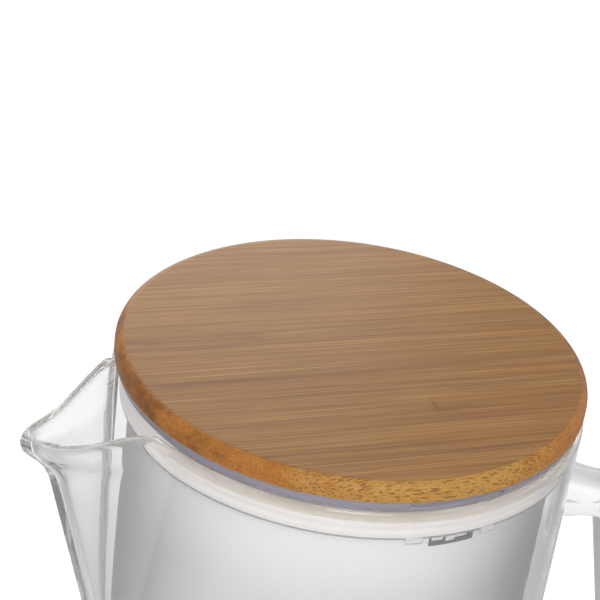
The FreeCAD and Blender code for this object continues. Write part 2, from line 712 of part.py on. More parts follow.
def make_lid_screws():
    """Pan head screws that hold the liner to the bamboo."""
    screw = turned("lid_screw", [
        ("0", "plate_bottom - screw_head_height"),
        ("screw_head_radius", "plate_bottom - screw_head_height"),
        ("screw_head_radius", "plate_bottom"),
        ("screw_radius", "plate_bottom"),
        ("screw_radius", "lid_bottom + screw_grip / 2"),
        ("0", "lid_bottom + screw_grip"),
    ])
    round_rings(
        screw, "screw_head_edge", [("screw_head_radius", "plate_bottom - screw_head_height")],
        "screw_head_height / 3",
    )
    half = "screw_slot / 2"
    arm = "screw_slot_reach"
    cross = [
        (half, arm), (half, half), (arm, half), (arm, f"-{half}"), (half, f"-{half}"), (half, f"-{arm}"),
        (f"-{half}", f"-{arm}"), (f"-{half}", f"-{half}"), (f"-{arm}", f"-{half}"), (f"-{arm}", half),
        (f"-{half}", half), (f"-{half}", arm),
    ]
    cut_holes(
        screw, "cross_recess", "plate_bottom - screw_head_height",
        lambda sketch: draw_outline(sketch, cross), "screw_slot_depth", 1, True,
    )
    copies = []
    for index in range(SCREW_COUNT):
        turn = 2.0 * math.pi * index / SCREW_COUNT
        copy = screw.Shape.copy()
        copy.translate(Vector(math.cos(turn), math.sin(turn), 0) * value("screw_circle"))
        copies.append(copy)
    group = doc.addObject("Part::Feature", "lid_screw_group")
    group.Shape = Part.makeCompound(copies)
    keep("lid_screws", group)


def make_cartridge_shell():
    """Cartridge cup: tapered body in the socket, wide head on the bucket floor."""
    shell = turned("shell", [
        ("0", "shell_bottom"),
        ("shell_foot", "shell_bottom"),
        ("shell_radius", "ledge"),
        ("head_radius", "ledge"),
        ("head_radius", "shell_top"),
        ("inside_head", "shell_top"),
        ("inside_head", "inside_ledge"),
        ("inside_neck", "inside_ledge"),
        ("inside_foot", "inside_floor"),
        ("0", "inside_floor"),
    ])
    cut_holes(
        shell, "outlet_slot_cut", "shell_bottom",
        lambda sketch: draw_outline(sketch, [
            ("outlet_slot_start", "-outlet_slot / 2"),
            ("inside_foot - outlet_slot_margin", "-outlet_slot / 2"),
            ("inside_foot - outlet_slot_margin", "outlet_slot / 2"),
            ("outlet_slot_start", "outlet_slot / 2"),
        ]),
        "shell_wall", OUTLET_SLOTS, True,
    )
    keep("cartridge_shell", shell)


def make_cartridge_cap():
    """Slotted cap with the tab that pulls the cartridge out."""
    cap = turned("cap", [
        ("0", "cap_top"),
        ("cap_crown_radius", "cap_top"),
        ("head_radius", "cap_edge"),
        ("head_radius", "shell_top"),
        ("inside_head - snap_gap", "shell_top"),
        ("inside_head - snap_gap", "spigot_bottom"),
        ("inside_head - snap_gap - cap_wall", "spigot_bottom"),
        ("inside_head - snap_gap - cap_wall", "cap_edge - cap_wall"),
        ("cap_crown_radius", "cap_top - cap_wall"),
        ("0", "cap_top - cap_wall"),
    ])
    cut_holes(
        cap, "inlet_slot_cut", "cap_top",
        lambda sketch: draw_outline(sketch, [
            ("cap_crown_radius + inlet_slot", "-inlet_slot / 2"),
            ("inlet_slot_end", "-inlet_slot / 2"),
            ("inlet_slot_end", "inlet_slot / 2"),
            ("cap_crown_radius + inlet_slot", "inlet_slot / 2"),
        ]),
        "cap_rise + cap_rim", INLET_SLOTS, False,
    )
    tab = new_sketch(cap, "grip_outline", "XZ_Plane")
    draw_outline(tab, [
        ("-grip_width / 2", "cap_top - cap_wall / 2"),
        ("grip_width / 2", "cap_top - cap_wall / 2"),
        ("grip_top_width / 2", "cap_top + grip_height"),
        ("-grip_top_width / 2", "cap_top + grip_height"),
    ])
    draw_circle(tab, "0", "cap_top + grip_height / 2", "grip_hole")
    pad = cap.newObject("PartDesign::Pad", "grip")
    pad.Profile = tab
    pad.Midplane = True
    bind(pad, "Length", "grip_thickness")
    doc.recompute()
    keep("cartridge_cap", cap)


def make_cartridge_media():
    """Gasket, screens, beds and felt of the cartridge, from the bottom up."""
    def bed_radius(height):
        return f"inside_foot - media_gap + media_slope * ({height} - inside_floor)"

    def layer(node, bottom, top):
        keep(node, turned(node + "_form", [
            ("0", bottom),
            (bed_radius(bottom), bottom),
            (bed_radius(top), top),
            ("0", top),
        ]))

    keep("cartridge_gasket", turned("gasket", [
        ("socket_radius", "gasket_bottom"),
        ("head_radius - gasket_inset", "gasket_bottom"),
        ("head_radius - gasket_inset", "ledge"),
        ("socket_radius", "ledge"),
    ]))
    layer("outlet_screen", "inside_floor", "outlet_screen_top")
    layer("carbon_bed", "outlet_screen_top", "carbon_top")
    layer("felt_separator", "carbon_top", "felt_top")
    keep("resin_bed", turned("resin_form", [
        ("0", "felt_top"),
        (bed_radius("felt_top"), "felt_top"),
        ("inside_neck - media_gap", "inside_ledge + media_gap"),
        ("inside_head - media_gap", "inside_ledge + media_gap"),
        ("inside_head - media_gap", "inlet_screen_bottom"),
        ("0", "inlet_screen_bottom"),
    ]))
    keep("inlet_screen", turned("inlet_screen_form", [
        ("0", "inlet_screen_bottom"),
        ("inside_head - media_gap", "inlet_screen_bottom"),
        ("inside_head - media_gap", "spigot_bottom"),
        ("0", "spigot_bottom"),
    ]))


make_glass_body()
make_glass_handle()
make_collar_ring()
make_collar_seal()
make_hopper_bucket()
make_bucket_clips()
make_bamboo_disc()
make_lid_liner()
make_lid_seal()
make_lid_screws()
make_cartridge_shell()
make_cartridge_cap()
make_cartridge_media()
doc.recompute()

for item in doc.Objects:
    if "Invalid" in item.State or "Error" in item.State:
        raise RuntimeError(f"{item.Label} failed: {item.State}")
for node, item in nodes.items():
    if item.Shape.isNull() or not item.Shape.isValid():
        raise RuntimeError(f"{node} has no valid shape")

os.makedirs("parts", exist_ok=True)
for node, item in nodes.items():
    item.Shape.exportStep(f"parts/{node}.step")
    print(f"{node}: {len(item.Shape.Solids)} solids, {item.Shape.Volume / 1000.0:.2f} cm3")
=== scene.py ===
import math

import bmesh
import bpy
from bpy.props import FloatProperty, FloatVectorProperty, PointerProperty
from mathutils import Matrix, Vector


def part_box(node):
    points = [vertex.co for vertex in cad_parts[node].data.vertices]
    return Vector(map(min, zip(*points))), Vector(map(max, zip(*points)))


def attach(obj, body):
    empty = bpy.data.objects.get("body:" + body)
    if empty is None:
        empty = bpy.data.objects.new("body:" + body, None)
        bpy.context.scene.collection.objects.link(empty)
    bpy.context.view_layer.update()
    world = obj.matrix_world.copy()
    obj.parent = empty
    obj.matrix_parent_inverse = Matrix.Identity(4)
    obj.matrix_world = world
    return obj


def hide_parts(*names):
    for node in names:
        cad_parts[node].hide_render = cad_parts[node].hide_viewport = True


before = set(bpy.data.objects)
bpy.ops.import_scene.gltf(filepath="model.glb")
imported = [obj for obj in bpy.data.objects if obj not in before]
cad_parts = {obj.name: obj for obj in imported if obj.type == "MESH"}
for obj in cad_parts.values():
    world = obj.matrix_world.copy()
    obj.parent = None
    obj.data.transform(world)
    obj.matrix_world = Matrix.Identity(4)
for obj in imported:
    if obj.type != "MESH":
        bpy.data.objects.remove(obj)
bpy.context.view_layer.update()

bl_info = {
    "name": "Glass filter pitcher",
    "version": (1, 0, 0),
    "blender": (4, 5, 0),
    "location": "View3D > Sidebar > Pitcher",
    "description": "Builds the looks of a glass water filter pitcher with a bamboo lid on its CAD frame",
    "category": "Object",
}

MM = 0.001
GLASS_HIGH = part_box("glass_body")[1]
JUG_RADIUS = GLASS_HIGH.y
RIM_HEIGHT = GLASS_HIGH.z
LID_LOW, LID_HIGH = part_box("bamboo_disc")
COLLAR_LOW, COLLAR_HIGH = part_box("collar_ring")
SLEEVE_LOW, SLEEVE_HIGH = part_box("collar_seal")
BUCKET_LOW, BUCKET_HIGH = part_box("hopper_bucket")
QUARTER_TURN = math.pi / 2
HALF_TURN = math.pi
FULL_TURN = 2 * math.pi
SIDE_TURNS = (-QUARTER_TURN, QUARTER_TURN)
# Name of the mesh attribute that tells the rim's bead from the rest of the glass; it masks the painted light
# on the bead
RIM_MARK = "rim"
# Columns of the turned meshes
ROUND_STEPS = 240
LID_STEPS = 288
# Points nearer the axis than this are on it
ON_AXIS = MM / 100
# Soft change at the ends of notches, tabs and windows
EDGE_SOFT = math.radians(0.3)
# How far the sleeve stands out of the collar
SLEEVE_PROUD = 0.1 * MM
# Turn of the camera and the ground card about the jug's axis
VIEW_TURN = math.radians(-30)
# Light crosses the glass lengthwise in the rim and the spout and turns very often there
LIGHT_BOUNCES = 1000
# Darker seams of the lid, in millimetres: place across the grain, start and end along it, strength, width
SEAMS = (
    (4.2, -70.0, -32.0, 0.5, 0.7),
    (-13.5, -62.0, 2.0, 0.42, 1.9),
    (-13.0, 0.0, 60.0, 0.2, 1.6),
    (23.8, 36.0, 70.0, 0.6, 0.5),
    (23.2, -32.0, -4.0, 0.25, 0.8),
    (17.2, -66.0, -28.0, 0.25, 0.6),
    (-28.7, -66.0, -18.0, 0.35, 0.8),
    (-38.2, -4.0, 60.0, 0.3, 1.8),
    (-49.8, -45.0, 10.0, 0.35, 1.2),
    (-54.5, -30.0, 34.0, 0.3, 1.0),
    (32.2, -60.0, -18.0, 0.25, 0.6),
    (8.0, -64.0, -24.0, 0.25, 2.4),
)
# Marks of the bamboo's nodes: place along and across the grain, size along and across, strength
NODE_MARKS = (
    (12.5, -32.0, 0.9, 4.0, 0.6),
    (17.0, -36.0, 12.0, 6.0, 0.35),
    (-33.0, 8.0, 16.0, 5.0, 0.35),
    (-60.0, 8.0, 8.0, 4.0, 0.35),
)


# Settings that a user may change

def linear(code):
    """An sRGB hex colour as linear red, green and blue with full alpha."""
    shares = [int(code[place:place + 2], 16) / 255 for place in (1, 3, 5)]
    light = [share / 12.92 if share <= 0.04045 else ((share + 0.055) / 1.055) ** 2.4 for share in shares]
    return (*light, 1.0)


def length(name, description, millimetres):
    """A length property, given in millimetres."""
    return FloatProperty(name=name, description=description, default=millimetres * MM, min=0.0,
                         unit="LENGTH", subtype="DISTANCE", precision=5)


def angle(name, description, degrees):
    """An angle property, given in degrees."""
    return FloatProperty(name=name, description=description, default=math.radians(degrees),
                         unit="ROTATION", subtype="ANGLE")


def share(name, description, default):
    """A property from nought to one."""
    return FloatProperty(name=name, description=description, default=default, min=0.0, max=1.0,
                         subtype="FACTOR")


def plain(name, description, default):
    """A plain number."""
    return FloatProperty(name=name, description=description, default=default, min=0.0)


def colour(name, description, code):
    """A colour property, given as an sRGB hex code."""
    return FloatVectorProperty(name=name, description=description, default=linear(code), size=4,
                               min=0.0, max=1.0, subtype="COLOR")


class PitcherGlass(bpy.types.PropertyGroup):
    """Blown glass jug with its spout and handle."""
    wall: length("Wall", "Thickness of the glass wall", 2.6)
    floor: length("Floor", "Thickness of the glass floor", 5)
    foot_round: length("Foot round", "Round between floor and wall", 12)
    rim_round: length("Rim round", "Height of the fire-polished bead on the rim", 3.0)
    keel_reach: length("Keel reach", "Stand-off of the keel line at rim height", 26.0)
    keel_depth: length("Keel depth", "Rim down to the end of the keel", 99)
    keel_fade: length("Keel fade", "Softness of the keel's lower end", 3)
    lip_curl: length("Lip curl", "Extra reach where the lip turns out", 5.4)
    lip_curl_depth: length("Lip curl depth", "Depth at which the lip starts to turn", 25)
    lip_drop: length("Lip drop", "Dip of the lip below the raised rim", 8.55)
    lip_run: length("Lip run", "Run of the dip from rim to lip", 25)
    lip_rise: length("Lip rise", "Rise of the rim where the spout starts", 2.35)
    lip_lead: length("Lip lead", "Run over which the rim rises to the spout", 4.5)
    spout_half: angle("Spout half angle", "Half angle of the V at the body", 14.0)
    spout_blend: angle("Spout blend", "Half width of the hollow beside the V", 9)
    spout_nose: angle("Spout nose", "Roundness of the nose", 3.0)
    spout_foot: share("Spout foot", "Width of the V that is left at the keel's end", 0.45)
    nose_glass: share("Nose glass", "Extra glass behind the nose, as a share of the wall", 0.45)
    handle_width: length("Handle width", "Handle bar across the jug", 20)
    handle_thickness: length("Handle thickness", "Handle bar in the plane of the ear", 14.8)
    handle_height: length("Handle height", "Foot to the middle of the upper weld", 176.7)
    handle_arm: length("Handle arm", "Upper arm from the wall to the bend", 36)
    arm_slope: angle("Arm slope", "Fall of the upper arm", 20)
    upper_bend: length("Upper bend", "Bend radius between arm and grip", 13)
    grip: length("Grip", "Straight length of the grip", 52)
    grip_lean: angle("Grip lean", "Outward lean of the grip", 15)
    lower_bend: length("Lower bend", "Bend radius below the grip", 26)
    tail_slope: angle("Tail slope", "Fall of the tail towards the wall", 20)
    weld_growth: share("Weld growth", "How much wider the bar is at the weld", 0.95)
    weld_length: length("Weld length", "Length over which the bar widens to the weld", 32)
    weld_round: length("Weld round", "Hollow round between handle and wall", 4)
    tint: colour("Tint", "Colour of the glass", "#FDFDFD")
    # The rim colour and its share are painted light: a milky warm grey on the bead stands in for light
    # carried along the rim and for the lid's reflection in it
    rim: colour("Rim", "Warm grey of the bead on the rim, which gathers light", "#DCD4C8")
    painted_rim_share: share("Rim milk", "Share of light that the bead on the rim scatters", 0.35)
    bend: plain("Refraction", "Index of refraction", 1.47)
    depth: colour("Depth", "What thick glass leaves of white light", "#ADAEAD")
    density: plain("Density", "Absorption of the glass per metre", 1.3)


class PitcherLid(bpy.types.PropertyGroup):
    """Bamboo lid with its liner."""
    swell: length("Swell", "Growth of the bamboo in damp air, at its edge", 0.5)
    top_round: length("Top round", "Round of the upper edge", 2.9)
    low_round: length("Lower round", "Round of the lower edge", 0.4)
    grain: angle("Grain", "Direction of the grain seen from above", -6)
    strip: length("Strip", "Usual width of a bamboo strip", 11)
    bundle: length("Fibre bundle", "Pitch of the fibre bundles across the grain", 0.55)
    pale: colour("Pale", "Pale fibres of the top", "#A8783C")
    deep: colour("Deep", "Deep fibres of the top", "#784C1E")
    streak: colour("Streak", "Light streaks of the top", "#C39A62")
    seam: colour("Seam", "Darker seams between strips", "#703C18")
    edge: colour("Edge", "Golden wood of the edge", "#C7954C")
    edge_deep: colour("Edge shade", "Brown wood where the edge cuts the fibres", "#B87631")
    edge_dark: colour("Edge bundles", "Dark fibre bundles on the edge", "#56300F")
    sheen: share("Sheen", "How much the oiled top mirrors", 0.25)
    liner: colour("Liner", "Plastic under the lid", "#E9E9E6")
    steel: colour("Screws", "Steel of the liner screws", "#C9CACB")


class PitcherHopper(bpy.types.PropertyGroup):
    """Clear collar with the translucent bucket."""
    clear: colour("Clear plastic", "Clear plastic of the collar", "#E2DEEA")
    clear_share: share("Clear share", "Share of light that the clear plastic lets through", 0.78)
    clear_depth: colour("Clear depth", "What thick clear plastic leaves of white light", "#B7B0DC")
    clear_density: plain("Clear density", "Absorption of the clear plastic per metre", 22.0)
    bucket: colour("Bucket", "Translucent plastic of the bucket", "#F4F4F4")
    # Partly real and partly painted shade: the wall seen along is darker from the longer way through the
    # plastic and from painted light falloff towards the sides
    bucket_grazing_shade: colour("Bucket side", "Translucent plastic where its wall is seen along", "#ACACAC")
    bucket_clear: share("Bucket clearness", "Share of light that passes the bucket wall", 0.25)
    bucket_frost: share("Bucket frost", "Roughness of the bucket's surface", 0.4)
    sleeve: colour("Sleeve", "Silicone of the sleeve and the lid seal", "#FBF6F4")
    clip: colour("Clips", "Grey plastic of the clips", "#7C7C80")
    clip_span: angle("Clip span", "Width of a clip", 11.8)
    clip_turn: angle("Clip turn", "Clip from the side of the jug towards the handle", 1.5)
    clip_low: length("Clip low", "Lower edge of the clips above the foot", 212.25)
    clip_bar: length("Clip bar", "Height of a clip's bar", 1.25)
    clip_relief: length("Clip relief", "Height of the bar where it is cut back", 0.6)
    clip_tooth: length("Clip tooth", "Height of a clip with its teeth", 3.4)
    clip_stand: length("Clip stand", "How far a clip stands off the bucket", 0.45)
    collar_wall: length("Collar wall", "Wall of the collar", 2.9)
    collar_groove: length("Sleeve groove", "Depth of the groove for the sleeve", 0.8)
    flange: length("Flange", "Thickness of the flange on the rim", 2.7)
    notch: angle("Notch", "Width of the finger notch under the flange", 24)
    notch_height: length("Notch height", "Height of the finger notch", 1.4)
    tab: angle("Tab", "Width of a locating tab", 4)
    tab_offset: angle("Tab offset", "Tab from the side of the jug", 9.5)
    tab_height: length("Tab height", "Height of a locating tab", 1.7)
    tab_wall: length("Tab wall", "Thickness of a locating tab", 1.4)
    window: angle("Window", "Width of the window for the clip teeth", 13.0)
    window_height: length("Window height", "Height of the window for the clip teeth", 1.5)
    snap: length("Snap gap", "Gap between pieces that snap together", 0.15)
    rib: length("Sleeve rib", "Height of the soft ribs of the sleeve", 0.12)
    bucket_wall: length("Bucket wall", "Wall of the bucket", 1.8)
    bucket_corner: length("Bucket corner", "Outer round at the bucket's floor", 9)
    bead: length("Bead", "How far the bucket's snap bead stands out", 0.9)
    bead_low: length("Bead low", "Lower edge of the snap bead above the foot", 219.0)
    bead_high: length("Bead high", "Upper edge of the snap bead above the foot", 220.4)
    floor_low: length("Floor low", "Underside of the bucket's floor above the foot", 122.5)
    floor: length("Floor", "Thickness of the bucket's floor", 2.2)
    socket: length("Socket", "Radius of the cartridge socket", 28)


class PitcherCartridge(bpy.types.PropertyGroup):
    """Filter cartridge in the bucket's socket."""
    shell: colour("Shell", "White plastic of shell and cap", "#EEEFEF")
    gasket: colour("Gasket", "Grey silicone of the gasket", "#7C8084")
    felt: colour("Felt", "Woven screens and separator", "#DADAD4")
    carbon: colour("Carbon", "Carbon granules", "#1C1B1A")
    resin: colour("Resin", "Resin beads", "#C9A356")


class PitcherStage(bpy.types.PropertyGroup):
    """Floor, ground card, lamps and camera."""
    backdrop: colour("Backdrop", "White floor and surroundings", "#FFFFFF")
    fill: plain("Fill", "Strength of the light from all round", 0.6)
    key: plain("Key lamp", "Power of the large lamp behind the jug, in watts", 0.46)
    front: plain("Front lamp", "Power of the lamp beside the camera, in watts", 2.6)
    side: plain("Side lamp", "Power of the lamp on the spout's side, in watts", 0.45)


class PitcherSettings(bpy.types.PropertyGroup):
    """All settings of the pitcher."""
    glass: PointerProperty(type=PitcherGlass, name="Glass", description="Blown glass jug")
    lid: PointerProperty(type=PitcherLid, name="Lid", description="Bamboo lid and liner")
    hopper: PointerProperty(type=PitcherHopper, name="Hopper", description="Collar and bucket")
    cartridge: PointerProperty(type=PitcherCartridge, name="Cartridge", description="Filter cartridge")
    stage: PointerProperty(type=PitcherStage, name="Stage", description="Floor, lamps and camera")


# Mesh helpers

def make_piece(name, vertices, faces, body, slot_name, material, nodes=(), sharp=40.0):
    """A smooth closed mesh that rides a CAD body and stands for CAD nodes."""
    mesh = bpy.data.meshes.new(name)
    mesh.from_pydata(vertices, [], faces)
    work = bmesh.new()
    work.from_mesh(mesh)
    bmesh.ops.recalc_face_normals(work, faces=work.faces)
    work.to_mesh(mesh)
    work.free()
    mesh.polygons.foreach_set("use_smooth", [True] * len(mesh.polygons))
    mesh.set_sharp_from_angle(angle=math.radians(sharp))
    mesh.materials.append(material)
    piece = bpy.data.objects.new(name, mesh)
    bpy.context.scene.collection.objects.link(piece)
    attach(piece, body)
    if nodes:
        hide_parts(*nodes)
    return piece


def make_turned(name, outline, steps, closed, *details):
    """A piece turned from one outline; the details are those of make_piece after its faces."""
    vertices, faces = turned(lambda turn: outline, even_turns(steps), closed)
    return make_piece(name, vertices, faces, *details)


def dress_node(name, material, bevel=0.0):
    """Give a CAD node its material, and a small bevel on its edges."""
    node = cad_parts[name]
    node.data.materials.clear()
    node.data.materials.append(material)
    if bevel:
        edge = node.modifiers.new("soft edges", "BEVEL")
        edge.width = bevel
        edge.segments = 2
        edge.limit_method = "ANGLE"
        edge.angle_limit = math.radians(40)


def bridge(first, second):
    """Quads between two closed rings of vertex numbers."""
    count = len(first)
    return [(first[i], first[(i + 1) % count], second[(i + 1) % count], second[i]) for i in range(count)]


def fan(pole, ring):
    """Triangles between a vertex and a closed ring."""
    count = len(ring)
    return [(pole, ring[i], ring[(i + 1) % count]) for i in range(count)]


def eased(amount):
    """Smooth step from nought to one."""
    amount = min(max(amount, 0.0), 1.0)
    return amount * amount * (3 - 2 * amount)


def rounded(corners, closed, steps=5):
    """Outline through (radius, height, round) corners, with an arc and two guard points at each round."""
    outline = []
    count = len(corners)
    guard_share = 1.25
    for index, (radius, height, corner_round) in enumerate(corners):
        here = Vector((radius, height))
        inner = closed or 0 < index < count - 1
        if not inner or corner_round <= 0:
            outline.append(here)
            continue
        before = Vector(corners[index - 1][:2]) - here
        after = Vector(corners[(index + 1) % count][:2]) - here
        back, ahead = before.normalized(), after.normalized()
        half = back.angle(ahead) / 2
        run = corner_round / math.tan(half)
        guard = run * guard_share
        middle = here + (back + ahead).normalized() * corner_round / math.sin(half)
        outline.append(here + back * guard)
        start = here + back * run - middle
        sweep = HALF_TURN - 2 * half
        way = 1 if back.x * ahead.y - back.y * ahead.x < 0 else -1
        for step in range(steps + 1):
            turn = way * sweep * step / steps
            outline.append(middle + Matrix.Rotation(turn, 2) @ start)
        outline.append(here + ahead * guard)
    return [(point.x, point.y) for point in outline]


def turn_off(turn):
    """Angle between a direction and nought, the shorter way round."""
    return abs((turn + HALF_TURN) % FULL_TURN - HALF_TURN)


def even_turns(count):
    """Directions spread evenly round the axis."""
    return [FULL_TURN * index / count for index in range(count)]


def turned(outline_at, turns, closed):
    """Vertices and faces of an outline turned round the jug's axis; the outline may change with the turn."""
    vertices = []
    columns = []
    poles = {}
    for turn in turns:
        column = []
        for index, (radius, height) in enumerate(outline_at(turn)):
            if radius < ON_AXIS:
                if index not in poles:
                    poles[index] = len(vertices)
                    vertices.append((0.0, 0.0, height))
                column.append(poles[index])
                continue
            column.append(len(vertices))
            vertices.append((radius * math.cos(turn), radius * math.sin(turn), height))
        columns.append(column)
    faces = []
    rows = len(columns[0])
    for row in range(rows if closed else rows - 1):
        after = (row + 1) % rows
        first = [column[row] for column in columns]
        second = [column[after] for column in columns]
        if row in poles:
            faces += fan(first[0], second)
        elif after in poles:
            faces += fan(second[0], first)
        else:
            faces += bridge(first, second)
    return vertices, faces


# Shape of the glass

def softened(amount, fade):
    """Nought below -fade, the amount itself above fade, and a smooth curve between."""
    if amount <= -fade:
        return 0.0
    if amount >= fade:
        return amount
    return (amount + fade) ** 2 / (4 * fade)


def keel_stand(glass, depth):
    """How far the keel stands out of the wall at a depth below the rim."""
    straight = softened(glass.keel_reach * (1 - depth / glass.keel_depth), glass.keel_fade)
    lip = glass.lip_drop + glass.rim_round
    curl = max((glass.lip_curl_depth - max(depth, lip)) / (glass.lip_curl_depth - lip), 0.0)
    return straight + glass.lip_curl * curl ** 3


def wall_radius(glass, turn, height, inside):
    """Radius of the glass in a direction counted from the spout's middle."""
    depth = RIM_HEIGHT - height
    stand = keel_stand(glass, depth)
    narrowing = glass.spout_foot + (1 - glass.spout_foot) * max(0.0, 1 - depth / glass.keel_depth)
    half = glass.spout_half * narrowing
    blend = glass.spout_blend * narrowing
    radius = JUG_RADIUS
    if inside:
        radius = JUG_RADIUS - glass.wall
        inner_stand = softened(stand - glass.nose_glass * glass.wall, glass.keel_fade / 2)
        if stand > 0 and inner_stand > 0:
            half = math.asin(min(1.0, math.sin(half) * JUG_RADIUS * inner_stand / stand / radius))
        stand = inner_stand
    if stand <= 0:
        return radius
    swell = softened(half - math.hypot(turn_off(turn), glass.spout_nose), blend)
    return radius + stand * swell / softened(half - glass.spout_nose, blend)


def rim_height(glass, turn):
    """Height of the rim in a direction; it rises a little to the spout and then dips towards the lip."""
    height = RIM_HEIGHT
    walls_before, lead_before, passes = 1.5, 0.22, 12
    start = JUG_RADIUS - glass.wall * walls_before
    for _ in range(passes):
        outer = wall_radius(glass, turn, height, False)
        inner = wall_radius(glass, turn, height, True)
        reach = (outer + inner) / 2 * math.cos(turn)
        away = reach - start
        height = RIM_HEIGHT + glass.lip_rise * eased(away / glass.lip_lead + lead_before)
        height -= glass.lip_drop * eased(away / glass.lip_run)
    return height


def glass_turns():
    """Directions round the jug from the spout's middle, closer together at the spout."""
    fine, coarse, fine_reach = math.radians(0.45), math.radians(1.4), math.radians(27)
    fine_count = round(fine_reach / fine)
    coarse_count = round((HALF_TURN - fine_reach) / coarse)
    half = [fine_reach * index / fine_count for index in range(fine_count)]
    half += [fine_reach + (HALF_TURN - fine_reach) * index / coarse_count
             for index in range(coarse_count + 1)]
    return half + [FULL_TURN - turn for turn in reversed(half[1:-1])], len(half) - 1


def handle_path(glass):
    """Places along the handle's middle line: (reach, height, heading)."""
    slope = -glass.arm_slope
    lean = -(QUARTER_TURN - glass.grip_lean)
    tail = -(HALF_TURN - glass.tail_slope)
    spots = [(JUG_RADIUS, glass.handle_height, slope)]
    pace = 2.2 * MM

    def along(heading, distance):
        start = spots[-1]
        steps = max(2, round(distance / pace))
        for step in range(1, steps + 1):
            gone = distance * step / steps
            reach, height = start[0] + gone * math.cos(heading), start[1] + gone * math.sin(heading)
            spots.append((reach, height, heading))

    def bend_to(after, radius):
        reach, height, heading = spots[-1]
        middle = (reach + radius * math.sin(heading), height - radius * math.cos(heading))
        steps = round(abs(after - heading) * radius / pace)
        for step in range(1, steps + 1):
            facing = heading + (after - heading) * step / steps
            reach, height = middle[0] - radius * math.sin(facing), middle[1] + radius * math.cos(facing)
            spots.append((reach, height, facing))

    along(slope, glass.handle_arm)
    bend_to(lean, glass.upper_bend)
    along(lean, glass.grip)
    bend_to(tail, glass.lower_bend)
    along(tail, (spots[-1][0] - JUG_RADIUS) / -math.cos(tail))
    return spots


def add_ring(vertices, points):
    """Add points to the vertices; gives the numbers of the new ones."""
    start = len(vertices)
    vertices.extend(points)
    return list(range(start, len(vertices)))


def level_ring(turns, radius, height):
    """Points of a level circle round the jug's axis."""
    return [(-radius * math.cos(turn), -radius * math.sin(turn), height) for turn in turns]


def wall_ring(glass, turns, rims, height, inside):
    """Points round the wall; near the rim the ring follows the rim's rise and dip."""
    bend_depth = 45 * MM
    bend_start = RIM_HEIGHT - bend_depth
    bent = eased((height - bend_start) / (RIM_HEIGHT - bend_start))
    points = []
    for turn, rim in zip(turns, rims):
        place = height - (RIM_HEIGHT - rim) * bent
        radius = wall_radius(glass, turn, place, inside)
        points.append((-radius * math.cos(turn), -radius * math.sin(turn), place))
    return points


def bead_marks(glass, turns):
    """How much painted light the rim's bead gets in place of clear glass: little at the spout, fully along
    the body.
    """
    spout_mark = 0.2
    marks = []
    for turn in turns:
        past_spout = eased((turn_off(turn) - glass.spout_half) / glass.spout_blend)
        marks.append(spout_mark + (1 - spout_mark) * past_spout)
    return marks


def wall_rings(glass, turns, vertices):
    """Rings from the middle of the foot out and up the wall, over the rim and down to the inner floor.

    Gives the rings, which of them is the wall's first, the heights of the wall's rows and the rim's marks.
    """
    rims = [rim_height(glass, turn) for turn in turns]
    foot = glass.foot_round
    flat = JUG_RADIUS - foot
    bow_steps, rim_steps, rows = 9, 16, 106
    bows = [QUARTER_TURN * step / bow_steps for step in range(1, bow_steps)]
    floor_parts = (0.3, 0.6, 0.85, 0.985, 1.0)
    rings = [add_ring(vertices, level_ring(turns, flat * part, 0.0)) for part in floor_parts]
    for bow in bows:
        radius, height = flat + foot * math.sin(bow), foot * (1 - math.cos(bow))
        rings.append(add_ring(vertices, level_ring(turns, radius, height)))
    wall_top = RIM_HEIGHT - glass.rim_round
    heights = [foot + (wall_top - foot) * row / rows for row in range(rows + 1)]
    first_row = len(rings)
    for height in heights:
        rings.append(add_ring(vertices, wall_ring(glass, turns, rims, height, False)))
    outer_top = [Vector(vertices[number]) for number in rings[-1]]
    inner_top = [Vector(point) for point in wall_ring(glass, turns, rims, wall_top, True)]
    bead = {}
    marks = bead_marks(glass, turns)
    for step in range(1, rim_steps):
        bow = HALF_TURN * step / rim_steps
        lift = Vector((0, 0, glass.rim_round * math.sin(bow)))
        across = (1 - math.cos(bow)) / 2
        points = [outer.lerp(inner, across) + lift for outer, inner in zip(outer_top, inner_top)]
        rings.append(add_ring(vertices, points))
        bead.update(zip(rings[-1], marks))
    inner_round = foot - glass.wall
    inner_low = glass.floor + inner_round
    for row in range(rows + 1):
        height = wall_top + (inner_low - wall_top) * row / rows
        rings.append(add_ring(vertices, wall_ring(glass, turns, rims, height, True)))
    for bow in bows:
        radius, height = flat + inner_round * math.cos(bow), inner_low - inner_round * math.sin(bow)
        rings.append(add_ring(vertices, level_ring(turns, radius, height)))
    for part in reversed(floor_parts):
        rings.append(add_ring(vertices, level_ring(turns, flat * part, glass.floor)))
    return rings, first_row, heights, bead


def bar_half(glass, clear):
    """Half width and half thickness of the handle's bar at a distance from the wall."""
    growth = 1 + glass.weld_growth * max(0.0, 1 - clear / glass.weld_length) ** 2
    return glass.handle_width / 2 * growth, glass.handle_thickness / 2 * growth


def on_wall(across, height, lift):
    """Point at the handle's side of the wall, lifted off it."""
    return (math.sqrt(JUG_RADIUS ** 2 - across ** 2) + lift, across, height)


